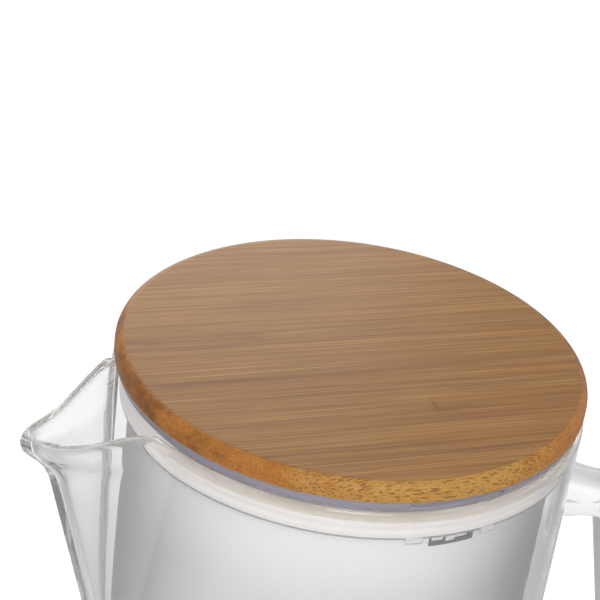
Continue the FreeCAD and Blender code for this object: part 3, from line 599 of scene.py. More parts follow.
def weld_rings(glass, vertices, opening, swings, place, slope, way):
    """Rings from the opening in the wall up the hollow round to the start of the handle's bar."""
    chain = [opening]
    hollow, hollow_steps = glass.weld_round, 6
    half_width, half_depth = bar_half(glass, 0.0)
    for mix in (0.4, 0.75):
        points = []
        for number, swing in zip(opening, swings):
            _, old_across, old_height = vertices[number]
            across = (half_width + hollow) * math.cos(swing)
            height = place + way * (half_depth + hollow) * math.sin(swing)
            across = old_across + (across - old_across) * mix
            points.append(on_wall(across, old_height + (height - old_height) * mix, 0.0))
        chain.append(add_ring(vertices, points))
    for step in range(hollow_steps + 1):
        bow = QUARTER_TURN * step / hollow_steps
        grow, lift = hollow * (1 - math.sin(bow)), hollow * (1 - math.cos(bow))
        half_width, half_depth = bar_half(glass, lift)
        points = []
        for swing in swings:
            across = (half_width + grow) * math.cos(swing)
            rise = way * (half_depth + grow) * math.sin(swing)
            points.append(on_wall(across, place + rise - slope * lift, lift))
        chain.append(add_ring(vertices, points))
    return chain


def bar_rings(glass, vertices, path, swings):
    """Rings along the handle's bar; near the wall they turn to face it."""
    ease_run = 16 * MM
    first_clear = glass.weld_round + 1.5 * MM
    chain = []
    for index, (reach, height, heading) in enumerate(path):
        clear = reach - JUG_RADIUS
        if clear < first_clear:
            continue
        at_wall = 0.0 if index < len(path) / 2 else -HALF_TURN
        facing = at_wall + (heading - at_wall) * eased(clear / ease_run)
        half_width, half_depth = bar_half(glass, clear)
        points = []
        for swing in swings:
            off = half_depth * math.sin(swing)
            across = half_width * math.cos(swing)
            points.append((reach - off * math.sin(facing), across, height + off * math.cos(facing)))
        chain.append(add_ring(vertices, points))
    return chain


def glass_mesh(glass):
    """Vertices, faces and rim marks of the jug: one skin over wall, rim, floor and handle."""
    turns, back = glass_turns()
    vertices = [(0.0, 0.0, 0.0)]
    rings, first_row, heights, bead = wall_rings(glass, turns, vertices)
    centre = len(vertices)
    vertices.append((0.0, 0.0, glass.floor))

    path = handle_path(glass)
    columns, rows = 14, 9
    ends = (path[0][1], path[-1][1])
    welds = [round((place - heights[0]) / (heights[1] - heights[0])) for place in ends]
    faces = fan(0, rings[0])
    for index in range(len(rings) - 1):
        quads = bridge(rings[index], rings[index + 1])
        row = index - first_row
        if any(-rows <= row - weld < rows for weld in welds):
            quads = quads[:back - columns] + quads[back + columns:]
        faces += quads
    faces += fan(centre, rings[-1])

    border = [(i, j) for i in range(-columns, columns + 1) for j in range(-rows, rows + 1)
              if abs(i) == columns or abs(j) == rows]
    border.sort(key=lambda spot: math.atan2(spot[1] / rows, spot[0] / columns))
    swings = [math.atan2(j / rows, i / columns) for i, j in border]
    slopes = (math.tan(glass.arm_slope), -math.tan(glass.tail_slope))
    upper, lower = [
        ([rings[first_row + weld + way * j][back + i] for i, j in border], swings, place, slope, way)
        for weld, place, slope, way in zip(welds, ends, slopes, (1, -1))
    ]
    chain = weld_rings(glass, vertices, *upper)
    chain += bar_rings(glass, vertices, path, swings)
    chain += reversed(weld_rings(glass, vertices, *lower))
    for first, second in zip(chain, chain[1:]):
        faces += bridge(first, second)
    return vertices, faces, bead


# Shapes of the hopper

def inside_span(turn, middles, half):
    """One inside any of the spans round the axis and nought outside, with a short soft change."""
    off = min(turn_off(turn - middle) for middle in middles)
    return eased((half - off) / EDGE_SOFT + 0.5)


def collar_tabs(hopper):
    """Directions of the locating tabs."""
    return [side + way * hopper.tab_offset for side in SIDE_TURNS for way in (-1, 1)]


def collar_turns(hopper):
    """Even directions, with more of them where notches, tabs and windows end."""
    turns = set(even_turns(ROUND_STEPS))
    spans = [(SIDE_TURNS, hopper.notch), (SIDE_TURNS, hopper.window), (collar_tabs(hopper), hopper.tab)]
    for middles, span in spans:
        for middle in middles:
            for way in (-1, 1):
                for step in (-1.0, -0.5, 0.0, 0.5, 1.0):
                    turns.add((middle + way * (span / 2 + step * EDGE_SOFT / 2)) % FULL_TURN)
    return sorted(turns)


def collar_outline(hopper, turn):
    """Closed outline of the collar in a direction, as (radius, height)."""
    top, reach = COLLAR_HIGH.z, COLLAR_HIGH.x
    radius = -SLEEVE_LOW.x - SLEEVE_PROUD
    inside = radius - hopper.collar_wall
    groove = radius - hopper.collar_groove
    low = COLLAR_LOW.z + hopper.tab_height
    under = top - hopper.flange + hopper.notch_height * inside_span(turn, SIDE_TURNS, hopper.notch / 2)
    tab_low = low - hopper.tab_height * inside_span(turn, collar_tabs(hopper), hopper.tab / 2)
    window = low + hopper.window_height * inside_span(turn, SIDE_TURNS, hopper.window / 2)
    tab_in = radius - hopper.tab_wall
    bead = inside + hopper.bead
    small = 0.15 * MM
    return rounded([
        (inside, top, 0.3 * MM),
        (reach, top, 0.6 * MM),
        (reach, under, 0.4 * MM),
        (radius, under, small),
        (radius, SLEEVE_HIGH.z, small),
        (groove, SLEEVE_HIGH.z, 0.0),
        (groove, SLEEVE_LOW.z, 0.0),
        (radius, SLEEVE_LOW.z, small),
        (radius, tab_low, small),
        (tab_in, tab_low, 0.0),
        (tab_in - 0.1 * MM, window, 0.0),
        (inside, window, small),
        (inside, hopper.bead_low - hopper.snap, 0.0),
        (bead, hopper.bead_low - hopper.snap, 0.0),
        (bead, hopper.bead_high + hopper.snap, 0.0),
        (inside, hopper.bead_high + hopper.snap, 0.0),
    ], True, 4)


def sleeve_outline(hopper):
    """Closed outline of the silicone sleeve with soft ribs on its outside."""
    low, high, reach = SLEEVE_LOW.z, SLEEVE_HIGH.z, SLEEVE_HIGH.x
    inside = reach - SLEEVE_PROUD - hopper.collar_groove
    ribs, steps = 3, 36
    outline = [(inside, high), (inside, low)]
    for step in range(steps + 1):
        place = step / steps
        swell = 0.5 - 0.5 * math.cos(FULL_TURN * ribs * place)
        outline.append((reach - hopper.rib * (1 - swell), low + (high - low) * place))
    return outline


def clip_mesh(hopper):
    """Vertices and faces of both clips: a bar with two thin teeth, a relief and a lug at its end."""
    tall, bar, thin = hopper.clip_tooth, hopper.clip_bar, hopper.clip_relief
    # Start and end of each stretch as shares of the clip's width, and its height
    spans = ((0.0, 0.03, tall), (0.03, 0.31, bar), (0.31, 0.35, tall), (0.35, 0.57, thin),
             (0.57, 0.88, bar), (0.88, 1.0, tall))
    surface = BUCKET_HIGH.x - hopper.bead
    sunk, stand = -0.1 * MM, hopper.clip_stand
    gap, steps = 0.002, 6
    vertices, faces = [], []
    for way in (-1, 1):
        rings = []
        for start, end, height in spans:
            for step in range(steps + 1):
                place = start + (end - start) * (gap + (1 - 2 * gap) * step / steps)
                turn = way * (QUARTER_TURN - hopper.clip_turn + hopper.clip_span * (0.5 - place))
                ring = []
                for reach, level in ((sunk, 0.0), (stand, 0.0), (stand, height), (sunk, height)):
                    ring.append(len(vertices))
                    radius = surface + reach
                    spot = radius * math.cos(turn), radius * math.sin(turn), hopper.clip_low + level
                    vertices.append(spot)
                rings.append(ring)
        for first, second in zip(rings, rings[1:]):
            faces += bridge(first, second)
        faces += [tuple(rings[0]), tuple(rings[-1])]
    return vertices, faces


def bucket_outline(hopper):
    """Closed outline of the bucket with its snap bead and cartridge socket."""
    reach = BUCKET_HIGH.x - hopper.bead
    inside = reach - hopper.bucket_wall
    socket_out = hopper.socket + hopper.bucket_wall
    floor_high = hopper.floor_low + hopper.floor
    return rounded([
        (inside, BUCKET_HIGH.z, 0.5 * MM),
        (reach, BUCKET_HIGH.z, 0.5 * MM),
        (reach, hopper.bead_high, 0.2 * MM),
        (BUCKET_HIGH.x, hopper.bead_high, 0.3 * MM),
        (BUCKET_HIGH.x, hopper.bead_low, 0.3 * MM),
        (reach, hopper.bead_low, 0.2 * MM),
        (reach, hopper.floor_low, hopper.bucket_corner),
        (socket_out, hopper.floor_low, 2.0 * MM),
        (socket_out, BUCKET_LOW.z, 0.6 * MM),
        (hopper.socket, BUCKET_LOW.z, 0.6 * MM),
        (hopper.socket, floor_high, 1.0 * MM),
        (inside, floor_high, hopper.bucket_corner - hopper.bucket_wall),
    ], True, 6)


# Materials

def add_node(tree, kind, inputs=None, **settings):
    """Add a shader node: inputs maps sockets to values or to sockets that feed them."""
    node = tree.nodes.new(kind)
    for name, setting in settings.items():
        setattr(node, name, setting)
    for socket, source in (inputs or {}).items():
        if isinstance(source, bpy.types.NodeSocket):
            tree.links.new(source, node.inputs[socket])
        else:
            node.inputs[socket].default_value = source
    return node


def math_node(tree, operation, first, second=0.0, third=0.0):
    """Result socket of one sum."""
    inputs = {0: first, 1: second, 2: third}
    return add_node(tree, "ShaderNodeMath", inputs, operation=operation).outputs["Value"]


def ramp(tree, source, low, high, to_low=0.0, to_high=1.0):
    """Result socket of a clamped smooth change from one range to another."""
    inputs = {"Value": source, "From Min": low, "From Max": high, "To Min": to_low, "To Max": to_high}
    return add_node(tree, "ShaderNodeMapRange", inputs, interpolation_type="SMOOTHSTEP").outputs["Result"]


def mix_colours(tree, amount, first, second):
    """Colour socket between two colours."""
    return add_node(tree, "ShaderNodeMix", {0: amount, 6: first, 7: second}, data_type="RGBA").outputs[2]


def dimmed(tone, left):
    """A colour of which only a share of the light is left."""
    return [part * left for part in tone[:3]] + [1.0]


def axis_of(tree, vector, axis):
    """Socket with one coordinate of a vector."""
    return add_node(tree, "ShaderNodeSeparateXYZ", {"Vector": vector}).outputs[axis]


def new_material(name):
    """An empty node material, and its tree."""
    material = bpy.data.materials.new(name)
    material.use_nodes = True
    material.node_tree.nodes.clear()
    return material, material.node_tree


def surfaced(material, inputs, depth=None, density=0.0):
    """The material with a principled surface and, given a density, with a depth that absorbs light."""
    tree = material.node_tree
    ends = {"Surface": add_node(tree, "ShaderNodeBsdfPrincipled", inputs).outputs["BSDF"]}
    if density:
        inside = add_node(tree, "ShaderNodeVolumeAbsorption", {"Color": depth, "Density": density})
        ends["Volume"] = inside.outputs["Volume"]
    add_node(tree, "ShaderNodeOutputMaterial", ends)
    return material


def place_in_mm(tree, turn=0.0):
    """Place in the object in millimetres, turned about Z."""
    return add_node(tree, "ShaderNodeMapping", {
        "Vector": add_node(tree, "ShaderNodeTexCoord").outputs["Object"],
        "Rotation": (0.0, 0.0, turn),
        "Scale": (1 / MM, 1 / MM, 1 / MM),
    }).outputs["Vector"]


def faint_bump(tree, spot, pitch, height):
    """Normal of a faint uneven surface: pitch and height in millimetres."""
    waves = add_node(tree, "ShaderNodeTexNoise", {"Vector": spot, "Scale": 1 / pitch, "Detail": 2.0})
    return add_node(tree, "ShaderNodeBump", {
        "Strength": 1.0,
        "Distance": height * MM,
        "Height": waves.outputs["Fac"],
    }).outputs["Normal"]


def blown_glass(settings):
    """Borosilicate glass: clear, with faint waves that make its mirrored edges wander; its rim's bead has a
    milky warm grey of painted light.
    """
    material, tree = new_material("borosilicate_glass")
    rim = add_node(tree, "ShaderNodeAttribute", attribute_name=RIM_MARK).outputs["Fac"]
    rim_roughness = 0.1
    return surfaced(material, {
        # Painted light: on the bead, a warm grey and less clearness stand in for light carried in the rim
        # and for the lid's reflection
        "Base Color": mix_colours(tree, rim, settings.tint, settings.rim),
        "Roughness": math_node(tree, "MULTIPLY", rim, rim_roughness),
        "IOR": settings.bend,
        "Transmission Weight": math_node(tree, "MULTIPLY_ADD", rim, -settings.painted_rim_share, 1.0),
        "Normal": faint_bump(tree, place_in_mm(tree), pitch=30.0, height=0.08),
    }, settings.depth, settings.density)


def clear_plastic(settings):
    """Clear moulded plastic whose thick edges look lilac."""
    material, tree = new_material("clear_moulded_plastic")
    spot = place_in_mm(tree)
    thick = ramp(tree, axis_of(tree, spot, "Z"), SLEEVE_LOW.z / MM, SLEEVE_HIGH.z / MM)
    return surfaced(material, {
        "Base Color": mix_colours(tree, thick, linear("#FFFFFF"), settings.clear),
        "Roughness": 0.03,
        "IOR": 1.55,
        "Transmission Weight": settings.clear_share,
        "Normal": faint_bump(tree, spot, pitch=9.0, height=0.05),
    }, settings.clear_depth, settings.clear_density)


def frosted_plastic(settings):
    """Translucent moulded plastic: lets light through but blurs what is behind, has painted shade where its
    wall is seen along, and is darker lower down.
    """
    material, tree = new_material("translucent_moulded_plastic")
    # Painted shade towards the grazing sides, partly the longer way through the plastic
    facing = add_node(tree, "ShaderNodeLayerWeight", {"Blend": 0.5}).outputs["Facing"]
    tone = mix_colours(tree, ramp(tree, facing, 0.25, 0.85), settings.bucket, settings.bucket_grazing_shade)
    spot = place_in_mm(tree)
    deepest, shade_low, shade_high = 0.16, 185.0, 215.0
    shade = ramp(tree, axis_of(tree, spot, "Z"), shade_low, shade_high, deepest, 0.0)
    return surfaced(material, {
        "Base Color": mix_colours(tree, shade, tone, linear("#000000")),
        "Roughness": settings.bucket_frost,
        "IOR": 1.49,
        "Transmission Weight": settings.bucket_clear,
        "Normal": faint_bump(tree, spot, pitch=14.0, height=0.06),
    })


def satin_plastic(name, tone, roughness, clearness=0.0, bloom=0.0):
    """Moulded plastic or silicone with a fine texture that softens its shine."""
    material, tree = new_material(name)
    spot = place_in_mm(tree)
    cloud_pitch, cloud_tone = 5.0, 0.93
    clouds = add_node(tree, "ShaderNodeTexNoise", {"Vector": spot, "Scale": 1 / cloud_pitch, "Detail": 3.0})
    return surfaced(material, {
        "Base Color": mix_colours(tree, clouds.outputs["Fac"], tone, dimmed(tone, cloud_tone)),
        "Roughness": roughness,
        "IOR": 1.46,
        "Transmission Weight": clearness,
        "Sheen Weight": bloom,
        "Normal": faint_bump(tree, spot, pitch=0.6, height=0.004),
    })


def granules(name, tone, size, roughness):
    """Loose granules: each cell of the pattern is one grain, with painted shade that darkens it towards its
    edge where the grains meet.
    """
    material, tree = new_material(name)
    grains = add_node(tree, "ShaderNodeTexVoronoi", {"Vector": place_in_mm(tree), "Scale": 1 / size})
    edge = grains.outputs["Distance"]
    grain_gap_shade, relief = 0.35, 0.5
    bump = add_node(tree, "ShaderNodeBump", {
        "Strength": 1.0,
        "Distance": size * relief * MM,
        "Height": edge,
    }, invert=True)
    return surfaced(material, {
        # Painted shade in the gaps between the grains
        "Base Color": mix_colours(tree, edge, tone, dimmed(tone, grain_gap_shade)),
        "Roughness": roughness,
        "Normal": bump.outputs["Normal"],
    })


def steel(settings):
    """Brushed stainless steel of the small screws."""
    material, tree = new_material("stainless_steel")
    inputs = {"Vector": place_in_mm(tree), "Scale": 3.0, "Detail": 2.0}
    brush = add_node(tree, "ShaderNodeTexNoise", inputs).outputs["Fac"]
    shine = add_node(tree, "ShaderNodeMapRange", {"Value": brush, "To Min": 0.22, "To Max": 0.4})
    return surfaced(material, {
        "Base Color": settings.steel,
        "Metallic": 1.0,
        "Roughness": shine.outputs["Result"],
    })


def near_line(tree, source, middle, width, strength):
    """Result socket that is the strength at a line and nought further off than the width."""
    core = 0.2
    off = math_node(tree, "ABSOLUTE", math_node(tree, "SUBTRACT", source, middle))
    return ramp(tree, off, width * core, width, strength, 0.0)


def fibres(tree, spot, size, detail=1.0, rough=0.5):
    """Noise stretched along the grain: size is the length, width and height of a fibre in millimetres."""
    stretched = add_node(tree, "ShaderNodeMapping", {"Vector": spot, "Scale": [1 / side for side in size]})
    return add_node(tree, "ShaderNodeTexNoise", {
        "Vector": stretched.outputs["Vector"],
        "Scale": 1.0,
        "Detail": detail,
        "Roughness": rough,
    }).outputs["Fac"]


def bamboo_face(tree, settings, straight, spot):
    """Colour and tone of the lid's face: long fibres with dashes, light streaks, seams and node marks."""
    along, across = axis_of(tree, spot, "X"), axis_of(tree, spot, "Y")
    lanes = add_node(tree, "ShaderNodeTexVoronoi", {
        "W": across,
        "Scale": MM / settings.strip,
        "Randomness": 0.8,
    }, voronoi_dimensions="1D")
    bands = fibres(tree, spot, (150.0, 1.5, 2.0), detail=6.0, rough=0.65)
    threads = fibres(tree, spot, (34.0, 0.5, 0.6), detail=2.0)
    tone = -0.83
    for source, weight in ((bands, 1.5), (threads, 1.1), (lanes.outputs["Color"], 0.2)):
        tone = math_node(tree, "MULTIPLY_ADD", source, weight, tone)
    face = mix_colours(tree, tone, settings.deep, settings.pale)
    dashes = ramp(tree, fibres(tree, spot, (12.0, 0.45, 0.7)), 0.62, 0.8, 0.0, 0.5)
    face = mix_colours(tree, dashes, face, settings.seam)
    streaks = ramp(tree, fibres(tree, spot, (45.0, 0.35, 0.5)), 0.54, 0.74, 0.0, 0.5)
    face = mix_colours(tree, streaks, face, settings.streak)
    fade_in, fade_out = 6, 10
    for middle, start, end, strength, width in SEAMS:
        line = near_line(tree, across, middle, width, strength)
        for limit, fade, before, after in ((start, fade_in, 0.0, 1.0), (end, fade_out, 1.0, 0.0)):
            within = ramp(tree, along, limit - fade, limit + fade, before, after)
            line = math_node(tree, "MULTIPLY", line, within)
        face = mix_colours(tree, line, face, settings.seam)
    mottle = ramp(tree, fibres(tree, straight, (7.0, 1.6, 2.0), detail=4.0, rough=0.7), 0.38, 0.62)
    for middle, height, long, wide, strength in NODE_MARKS:
        mark = math_node(tree, "MULTIPLY", near_line(tree, along, middle, long, strength),
                         near_line(tree, across, height, wide, 1.0))
        face = mix_colours(tree, math_node(tree, "MULTIPLY", mark, mottle), face, settings.seam)
    return face, tone


def bamboo_edge(tree, settings, straight, spot):
    """Colour of the lid's edge: golden with dots of fibre bundles, brown where it cuts across the fibres."""
    reach = math_node(tree, "ABSOLUTE", axis_of(tree, straight, "X"))
    cut = math_node(tree, "MULTIPLY", reach, MM / LID_HIGH.x)
    patch = fibres(tree, straight, (9.0, 9.0, 5.0), detail=4.0, rough=0.65)
    mixed = math_node(tree, "MULTIPLY_ADD", patch, 1.2, math_node(tree, "SUBTRACT", cut, 0.6))
    edge = mix_colours(tree, ramp(tree, mixed, 0.2, 0.75), settings.edge, settings.edge_deep)
    speckle = fibres(tree, straight, (0.6, 0.6, 0.6), detail=2.0, rough=0.6)
    bundle_long, bundle_wide = 5.0, settings.bundle / MM
    bundle_high = bundle_wide * 1.3
    place = add_node(tree, "ShaderNodeMapping", {
        "Vector": spot,
        "Scale": (1 / bundle_long, 1 / bundle_wide, 1 / bundle_high),
    })
    bundles = add_node(tree, "ShaderNodeTexVoronoi", {"Vector": place.outputs["Vector"], "Scale": 1.0})
    dots = math_node(tree, "MULTIPLY", ramp(tree, bundles.outputs["Distance"], 0.2, 0.42, 0.6, 0.0),
                     ramp(tree, cut, 0.45, 0.65, 1.0, 0.0))
    burnt = ramp(tree, mixed, 0.75, 1.2, 0.0, 0.75)
    for amount in (burnt, ramp(tree, speckle, 0.4, 0.7, 0.0, 0.36), dots):
        edge = mix_colours(tree, amount, edge, settings.edge_dark)
    return edge


def bamboo(settings):
    """Oiled bamboo strips: long fibres on the face, dots of cut bundles on the edge."""
    material, tree = new_material("oiled_bamboo")
    straight = place_in_mm(tree, -settings.grain)
    drift, wander = fibres(tree, straight, (80.0, 30.0, 40.0)), 1.6
    shift = math_node(tree, "MULTIPLY_ADD", drift, wander, -wander / 2)
    shift = add_node(tree, "ShaderNodeCombineXYZ", {"Y": shift}).outputs["Vector"]
    spot = add_node(tree, "ShaderNodeVectorMath", {0: straight, 1: shift}).outputs["Vector"]
    face, tone = bamboo_face(tree, settings, straight, spot)
    edge = bamboo_edge(tree, settings, straight, spot)
    normal = add_node(tree, "ShaderNodeNewGeometry").outputs["Normal"]
    upward = ramp(tree, axis_of(tree, normal, "Z"), 0.965, 0.997)
    bump = add_node(tree, "ShaderNodeBump", {"Strength": 0.4, "Distance": 0.02 * MM, "Height": tone})
    return surfaced(material, {
        "Base Color": mix_colours(tree, upward, edge, face),
        "Roughness": 0.45,
        "Specular IOR Level": settings.sheen,
        "Normal": bump.outputs["Normal"],
    })


# Stage

def seen_rays(tree, unseen, seen):
    """Strength socket: one value for light on the pieces, another for what eye, mirrors and glass show."""
    rays = add_node(tree, "ShaderNodeLightPath")
    eye = math_node(tree, "MAXIMUM", rays.outputs["Is Camera Ray"], rays.outputs["Is Glossy Ray"])
    eye = math_node(tree, "MAXIMUM", eye, rays.outputs["Is Transmission Ray"])
    return math_node(tree, "MULTIPLY_ADD", eye, seen - unseen, unseen)


def make_sheet(name, half, below, material):
    """Square sheet a little below the jug's foot, as part of the stage."""
    mesh = bpy.data.meshes.new(name)
    corners = [(-half, -half, 0), (half, -half, 0), (half, half, 0), (-half, half, 0)]
    mesh.from_pydata(corners, [], [(0, 1, 2, 3)])
    mesh.materials.append(material)
    sheet = bpy.data.objects.new(name, mesh)
    sheet.location.z = -below
    bpy.context.scene.collection.objects.link(sheet)
    return sheet


def make_floor(stage):
    """Large white floor that shows white to the eye and keeps the shadow."""
    material, tree = new_material("white_floor")
    paint, glow = 0.8, 0.55
    matt = add_node(tree, "ShaderNodeBsdfDiffuse", {"Color": dimmed(stage.backdrop, paint)})
    bright = add_node(tree, "ShaderNodeEmission", {
        "Color": stage.backdrop,
        "Strength": seen_rays(tree, 0.0, glow),
    })
    both = add_node(tree, "ShaderNodeAddShader", {0: matt.outputs["BSDF"], 1: bright.outputs["Emission"]})
    add_node(tree, "ShaderNodeOutputMaterial", {"Surface": both.outputs["Shader"]})
    make_sheet("floor", 4.0, 0.2 * MM, material)


def make_world(scene, stage):
    """White surroundings: full white to the eye, softer as light."""
    world = bpy.data.worlds.new("white_room")
    world.use_nodes = True
    tree = world.node_tree
    tree.nodes.clear()
    sky = add_node(tree, "ShaderNodeBackground", {
        "Color": stage.backdrop,
        "Strength": seen_rays(tree, stage.fill, 1.0),
    })
    add_node(tree, "ShaderNodeOutputWorld", {"Surface": sky.outputs["Background"]})
    scene.world = world


def make_lamp(name, power, size, place):
    """Square area lamp aimed at the middle of the lid."""
    lamp = bpy.data.lights.new(name, "AREA")
    lamp.energy = power
    lamp.size = size
    holder = bpy.data.objects.new(name, lamp)
    holder.location = place
    target = Vector((0.0, 0.0, LID_HIGH.z))
    holder.rotation_euler = (target - Vector(place)).to_track_quat("-Z", "Y").to_euler()
    holder.visible_camera = False
    bpy.context.scene.collection.objects.link(holder)


def make_lamps(stage):
    """A large lamp above and behind the jug, one beside the camera and one on the spout's side."""
    make_lamp("key_lamp", stage.key, 0.25, (0.09, 0.35, LID_HIGH.z + 0.13))
    make_lamp("front_lamp", stage.front, 0.4, (-0.2, -0.73, 0.7))
    make_lamp("side_lamp", stage.side, 0.4, (-0.75, -0.2, 0.45))


def make_cards(stage):
    """Ground of painted shade that only glass and mirrors show: the jug's painted shadow before it and just
    behind it, painted shade aside, and light further behind.
    """
    material, tree = new_material("painted_shade_card")
    place = add_node(tree, "ShaderNodeTexCoord").outputs["Object"]
    aside, depth = axis_of(tree, place, "X"), axis_of(tree, place, "Y")
    off = math_node(tree, "ABSOLUTE", aside)
    # Painted shade of darker surroundings on both sides of the jug
    dark = math_node(tree, "MULTIPLY", ramp(tree, off, 0.16, 0.3), ramp(tree, off, 0.5, 0.9, 1.0, 0.0))
    slant, side_shade = -0.5, 0.35
    behind = math_node(tree, "MULTIPLY_ADD", aside, slant, depth)
    # Painted shadow of the jug on the floor: darker before the jug and just behind it, light further off
    far = math_node(tree, "ADD", ramp(tree, behind, 0.15, 0.27, 0.55, 0.72),
                    ramp(tree, behind, 0.24, 0.36, 0.0, 0.28))
    near = ramp(tree, aside, -0.15, 0.2, 0.76, 0.55)
    past_jug = ramp(tree, behind, 0.03, 0.15)
    light = math_node(tree, "MULTIPLY_ADD", math_node(tree, "SUBTRACT", far, near), past_jug, near)
    light = math_node(tree, "MULTIPLY", light, math_node(tree, "MULTIPLY_ADD", dark, -side_shade, 1.0))
    glow = add_node(tree, "ShaderNodeEmission", {"Color": stage.backdrop, "Strength": light})
    add_node(tree, "ShaderNodeOutputMaterial", {"Surface": glow.outputs["Emission"]})
    cards = make_sheet("cards", 3.0, 0.1 * MM, material)
    cards.rotation_euler.z = VIEW_TURN
    cards.visible_camera = False
    cards.visible_diffuse = False
    cards.visible_shadow = False


def make_camera(scene):
    """Camera above and before the jug, tipped to one side."""
    tilt, roll, distance = math.radians(30.189), math.radians(-8.895), 0.4981
    focal, middle = 1725.6, 300.0
    aim_x, aim_y = 353.49, 346.38
    back = Vector((0, -math.cos(tilt), math.sin(tilt)))
    right = Vector((1, 0, 0))
    up = back.cross(right)
    sight = Vector(((aim_x - middle) / focal, -(aim_y - middle) / focal, -1)).normalized()
    swing = Vector((0, 0, -1)).rotation_difference(sight).to_matrix()
    to_camera = swing @ Matrix.Rotation(roll, 3, "Z") @ Matrix((right, up, back))
    turn = Matrix.Rotation(VIEW_TURN, 3, "Z")
    lens = bpy.data.cameras.new("camera")
    lens.sensor_width = 36.0
    lens.lens = focal / (2 * middle) * lens.sensor_width
    lens.clip_start = 0.01
    camera = bpy.data.objects.new("camera", lens)
    place = turn @ (back * distance) + Vector((0, 0, LID_HIGH.z))
    camera.matrix_world = Matrix.Translation(place) @ (turn @ to_camera.transposed()).to_4x4()
    scene.collection.objects.link(camera)
    scene.camera = camera


# Operators

class PITCHER_OT_glass(bpy.types.Operator):
    """Build the blown jug with its spout and handle as one skin of glass"""
    bl_idname = "pitcher.glass"
    bl_label = "Glass jug"

    def execute(self, context):
        glass = context.scene.pitcher.glass
        vertices, faces, bead = glass_mesh(glass)
        jug = make_piece("glass_jug", vertices, faces, "jug", "clear_glass", blown_glass(glass),
                         ("glass_body", "glass_handle"), sharp=80.0)
        jug.visible_shadow = False
        mark = jug.data.attributes.new(RIM_MARK, "FLOAT", "POINT")
        for number, amount in bead.items():
            mark.data[number].value = amount
        return {"FINISHED"}


class PITCHER_OT_lid(bpy.types.Operator):
    """Build the bamboo disc and dress the liner, seal and screws under it"""
    bl_idname = "pitcher.lid"
    bl_label = "Bamboo lid"

    def execute(self, context):
        lid = context.scene.pitcher.lid
        radius, low, high = LID_HIGH.x + lid.swell, LID_LOW.z, LID_HIGH.z
        rings = [radius * part for part in (0.0, 0.2, 0.4, 0.6, 0.8)]
        corners = [(ring, high, 0.0) for ring in rings]
        corners += [(radius, high, lid.top_round), (radius, low, lid.low_round)]
        corners += [(ring, low, 0.0) for ring in reversed(rings)]
        make_turned("bamboo_lid", rounded(corners, False, 8), LID_STEPS, False, "lid", "bamboo", bamboo(lid),
                    ("bamboo_disc",))
        dress_node("lid_liner", satin_plastic("white_polypropylene", lid.liner, 0.4))
        hopper = context.scene.pitcher.hopper
        dress_node("lid_seal", satin_plastic("clear_silicone", hopper.sleeve, 0.45, 0.5))
        dress_node("lid_screws", steel(lid))
        return {"FINISHED"}


class PITCHER_OT_collar(bpy.types.Operator):
    """Build the clear collar with its notches and tabs and its ribbed sleeve, and the grey clips"""
    bl_idname = "pitcher.collar"
    bl_label = "Clear collar"

    def execute(self, context):
        hopper = context.scene.pitcher.hopper
        vertices, faces = turned(lambda turn: collar_outline(hopper, turn), collar_turns(hopper), True)
        collar = make_piece("clear_collar", vertices, faces, "hopper", "clear_plastic",
                            clear_plastic(hopper), ("collar_ring",))
        collar.visible_shadow = False
        silicone = satin_plastic("translucent_silicone", hopper.sleeve, 0.4, clearness=0.15, bloom=0.3)
        make_turned("collar_sleeve", sleeve_outline(hopper), ROUND_STEPS, True, "hopper", "clear_silicone",
                    silicone, ("collar_seal",))
        vertices, faces = clip_mesh(hopper)
        make_piece("clips", vertices, faces, "hopper", "grey_plastic",
                   satin_plastic("grey_plastic", hopper.clip, 0.45), ("bucket_clips",), sharp=25.0)
        return {"FINISHED"}


class PITCHER_OT_bucket(bpy.types.Operator):
    """Build the translucent bucket that takes the tap water"""
    bl_idname = "pitcher.bucket"
    bl_label = "Hopper bucket"

    def execute(self, context):
        hopper = context.scene.pitcher.hopper
        bucket = make_turned("translucent_bucket", bucket_outline(hopper), ROUND_STEPS, True, "hopper",
                             "translucent_plastic", frosted_plastic(hopper), ("hopper_bucket",))
        bucket.visible_shadow = False
        return {"FINISHED"}


class PITCHER_OT_cartridge(bpy.types.Operator):
    """Dress the filter cartridge and its fillings"""
    bl_idname = "pitcher.cartridge"
    bl_label = "Filter cartridge"

    def execute(self, context):
        tones = context.scene.pitcher.cartridge
        white = satin_plastic("white_plastic", tones.shell, 0.38)
        felt = satin_plastic("woven_felt", tones.felt, 0.9)
        for name in ("cartridge_shell", "cartridge_cap"):
            dress_node(name, white, 0.3 * MM)
        for name in ("outlet_screen", "felt_separator", "inlet_screen"):
            dress_node(name, felt)
        silicone = satin_plastic("grey_silicone", tones.gasket, 0.5)
        dress_node("cartridge_gasket", silicone, 0.2 * MM)
        dress_node("carbon_bed", granules("carbon_granules", tones.carbon, 1.2, 0.6))
        dress_node("resin_bed", granules("resin_beads", tones.resin, 0.9, 0.35))
        return {"FINISHED"}


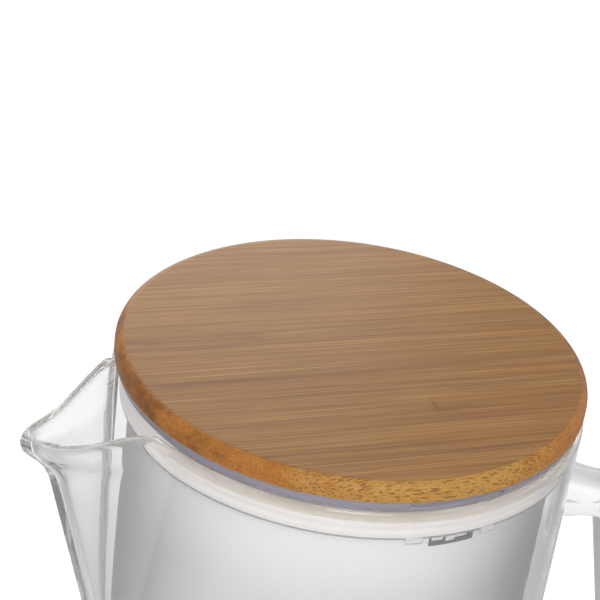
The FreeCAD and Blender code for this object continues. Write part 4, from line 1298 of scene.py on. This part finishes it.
class PITCHER_OT_stage(bpy.types.Operator):
    """Set the white floor, the surroundings, the lamps, the ground card of painted shade and the camera"""
    bl_idname = "pitcher.stage"
    bl_label = "Stage"

    def execute(self, context):
        scene = context.scene
        stage = scene.pitcher.stage
        make_floor(stage)
        make_world(scene, stage)
        make_lamps(stage)
        make_cards(stage)
        make_camera(scene)
        scene.view_settings.view_transform = "Standard"
        for limit in ("max_bounces", "glossy_bounces", "transmission_bounces"):
            setattr(scene.cycles, limit, LIGHT_BOUNCES)
        return {"FINISHED"}


class PITCHER_PT_panel(bpy.types.Panel):
    """Sidebar panel with the pitcher's builders and settings"""
    bl_idname = "PITCHER_PT_panel"
    bl_label = "Glass filter pitcher"
    bl_space_type = "VIEW_3D"
    bl_region_type = "UI"
    bl_category = "Pitcher"

    def draw(self, context):
        for operator in OPERATORS:
            self.layout.operator(operator.bl_idname)
        settings = context.scene.pitcher
        for group in ("glass", "lid", "hopper", "cartridge", "stage"):
            box = self.layout.box()
            box.label(text=group.capitalize())
            chosen = getattr(settings, group)
            for name in chosen.__annotations__:
                box.prop(chosen, name)


GROUPS = (PitcherGlass, PitcherLid, PitcherHopper, PitcherCartridge, PitcherStage, PitcherSettings)
OPERATORS = (PITCHER_OT_glass, PITCHER_OT_lid, PITCHER_OT_collar, PITCHER_OT_bucket, PITCHER_OT_cartridge,
             PITCHER_OT_stage)


def register():
    """Register the settings, the operators and the panel."""
    for item in (*GROUPS, *OPERATORS, PITCHER_PT_panel):
        bpy.utils.register_class(item)
    bpy.types.Scene.pitcher = PointerProperty(type=PitcherSettings, name="Pitcher",
                                              description="Settings of the glass filter pitcher")


def unregister():
    """Take the settings, the operators and the panel out again."""
    del bpy.types.Scene.pitcher
    for item in reversed((*GROUPS, *OPERATORS, PITCHER_PT_panel)):
        bpy.utils.unregister_class(item)


def main():
    """Build the pitcher and its stage."""
    register()
    bpy.ops.pitcher.glass()
    bpy.ops.pitcher.lid()
    bpy.ops.pitcher.collar()
    bpy.ops.pitcher.bucket()
    bpy.ops.pitcher.cartridge()
    bpy.ops.pitcher.stage()


if __name__ == "__main__":
    main()
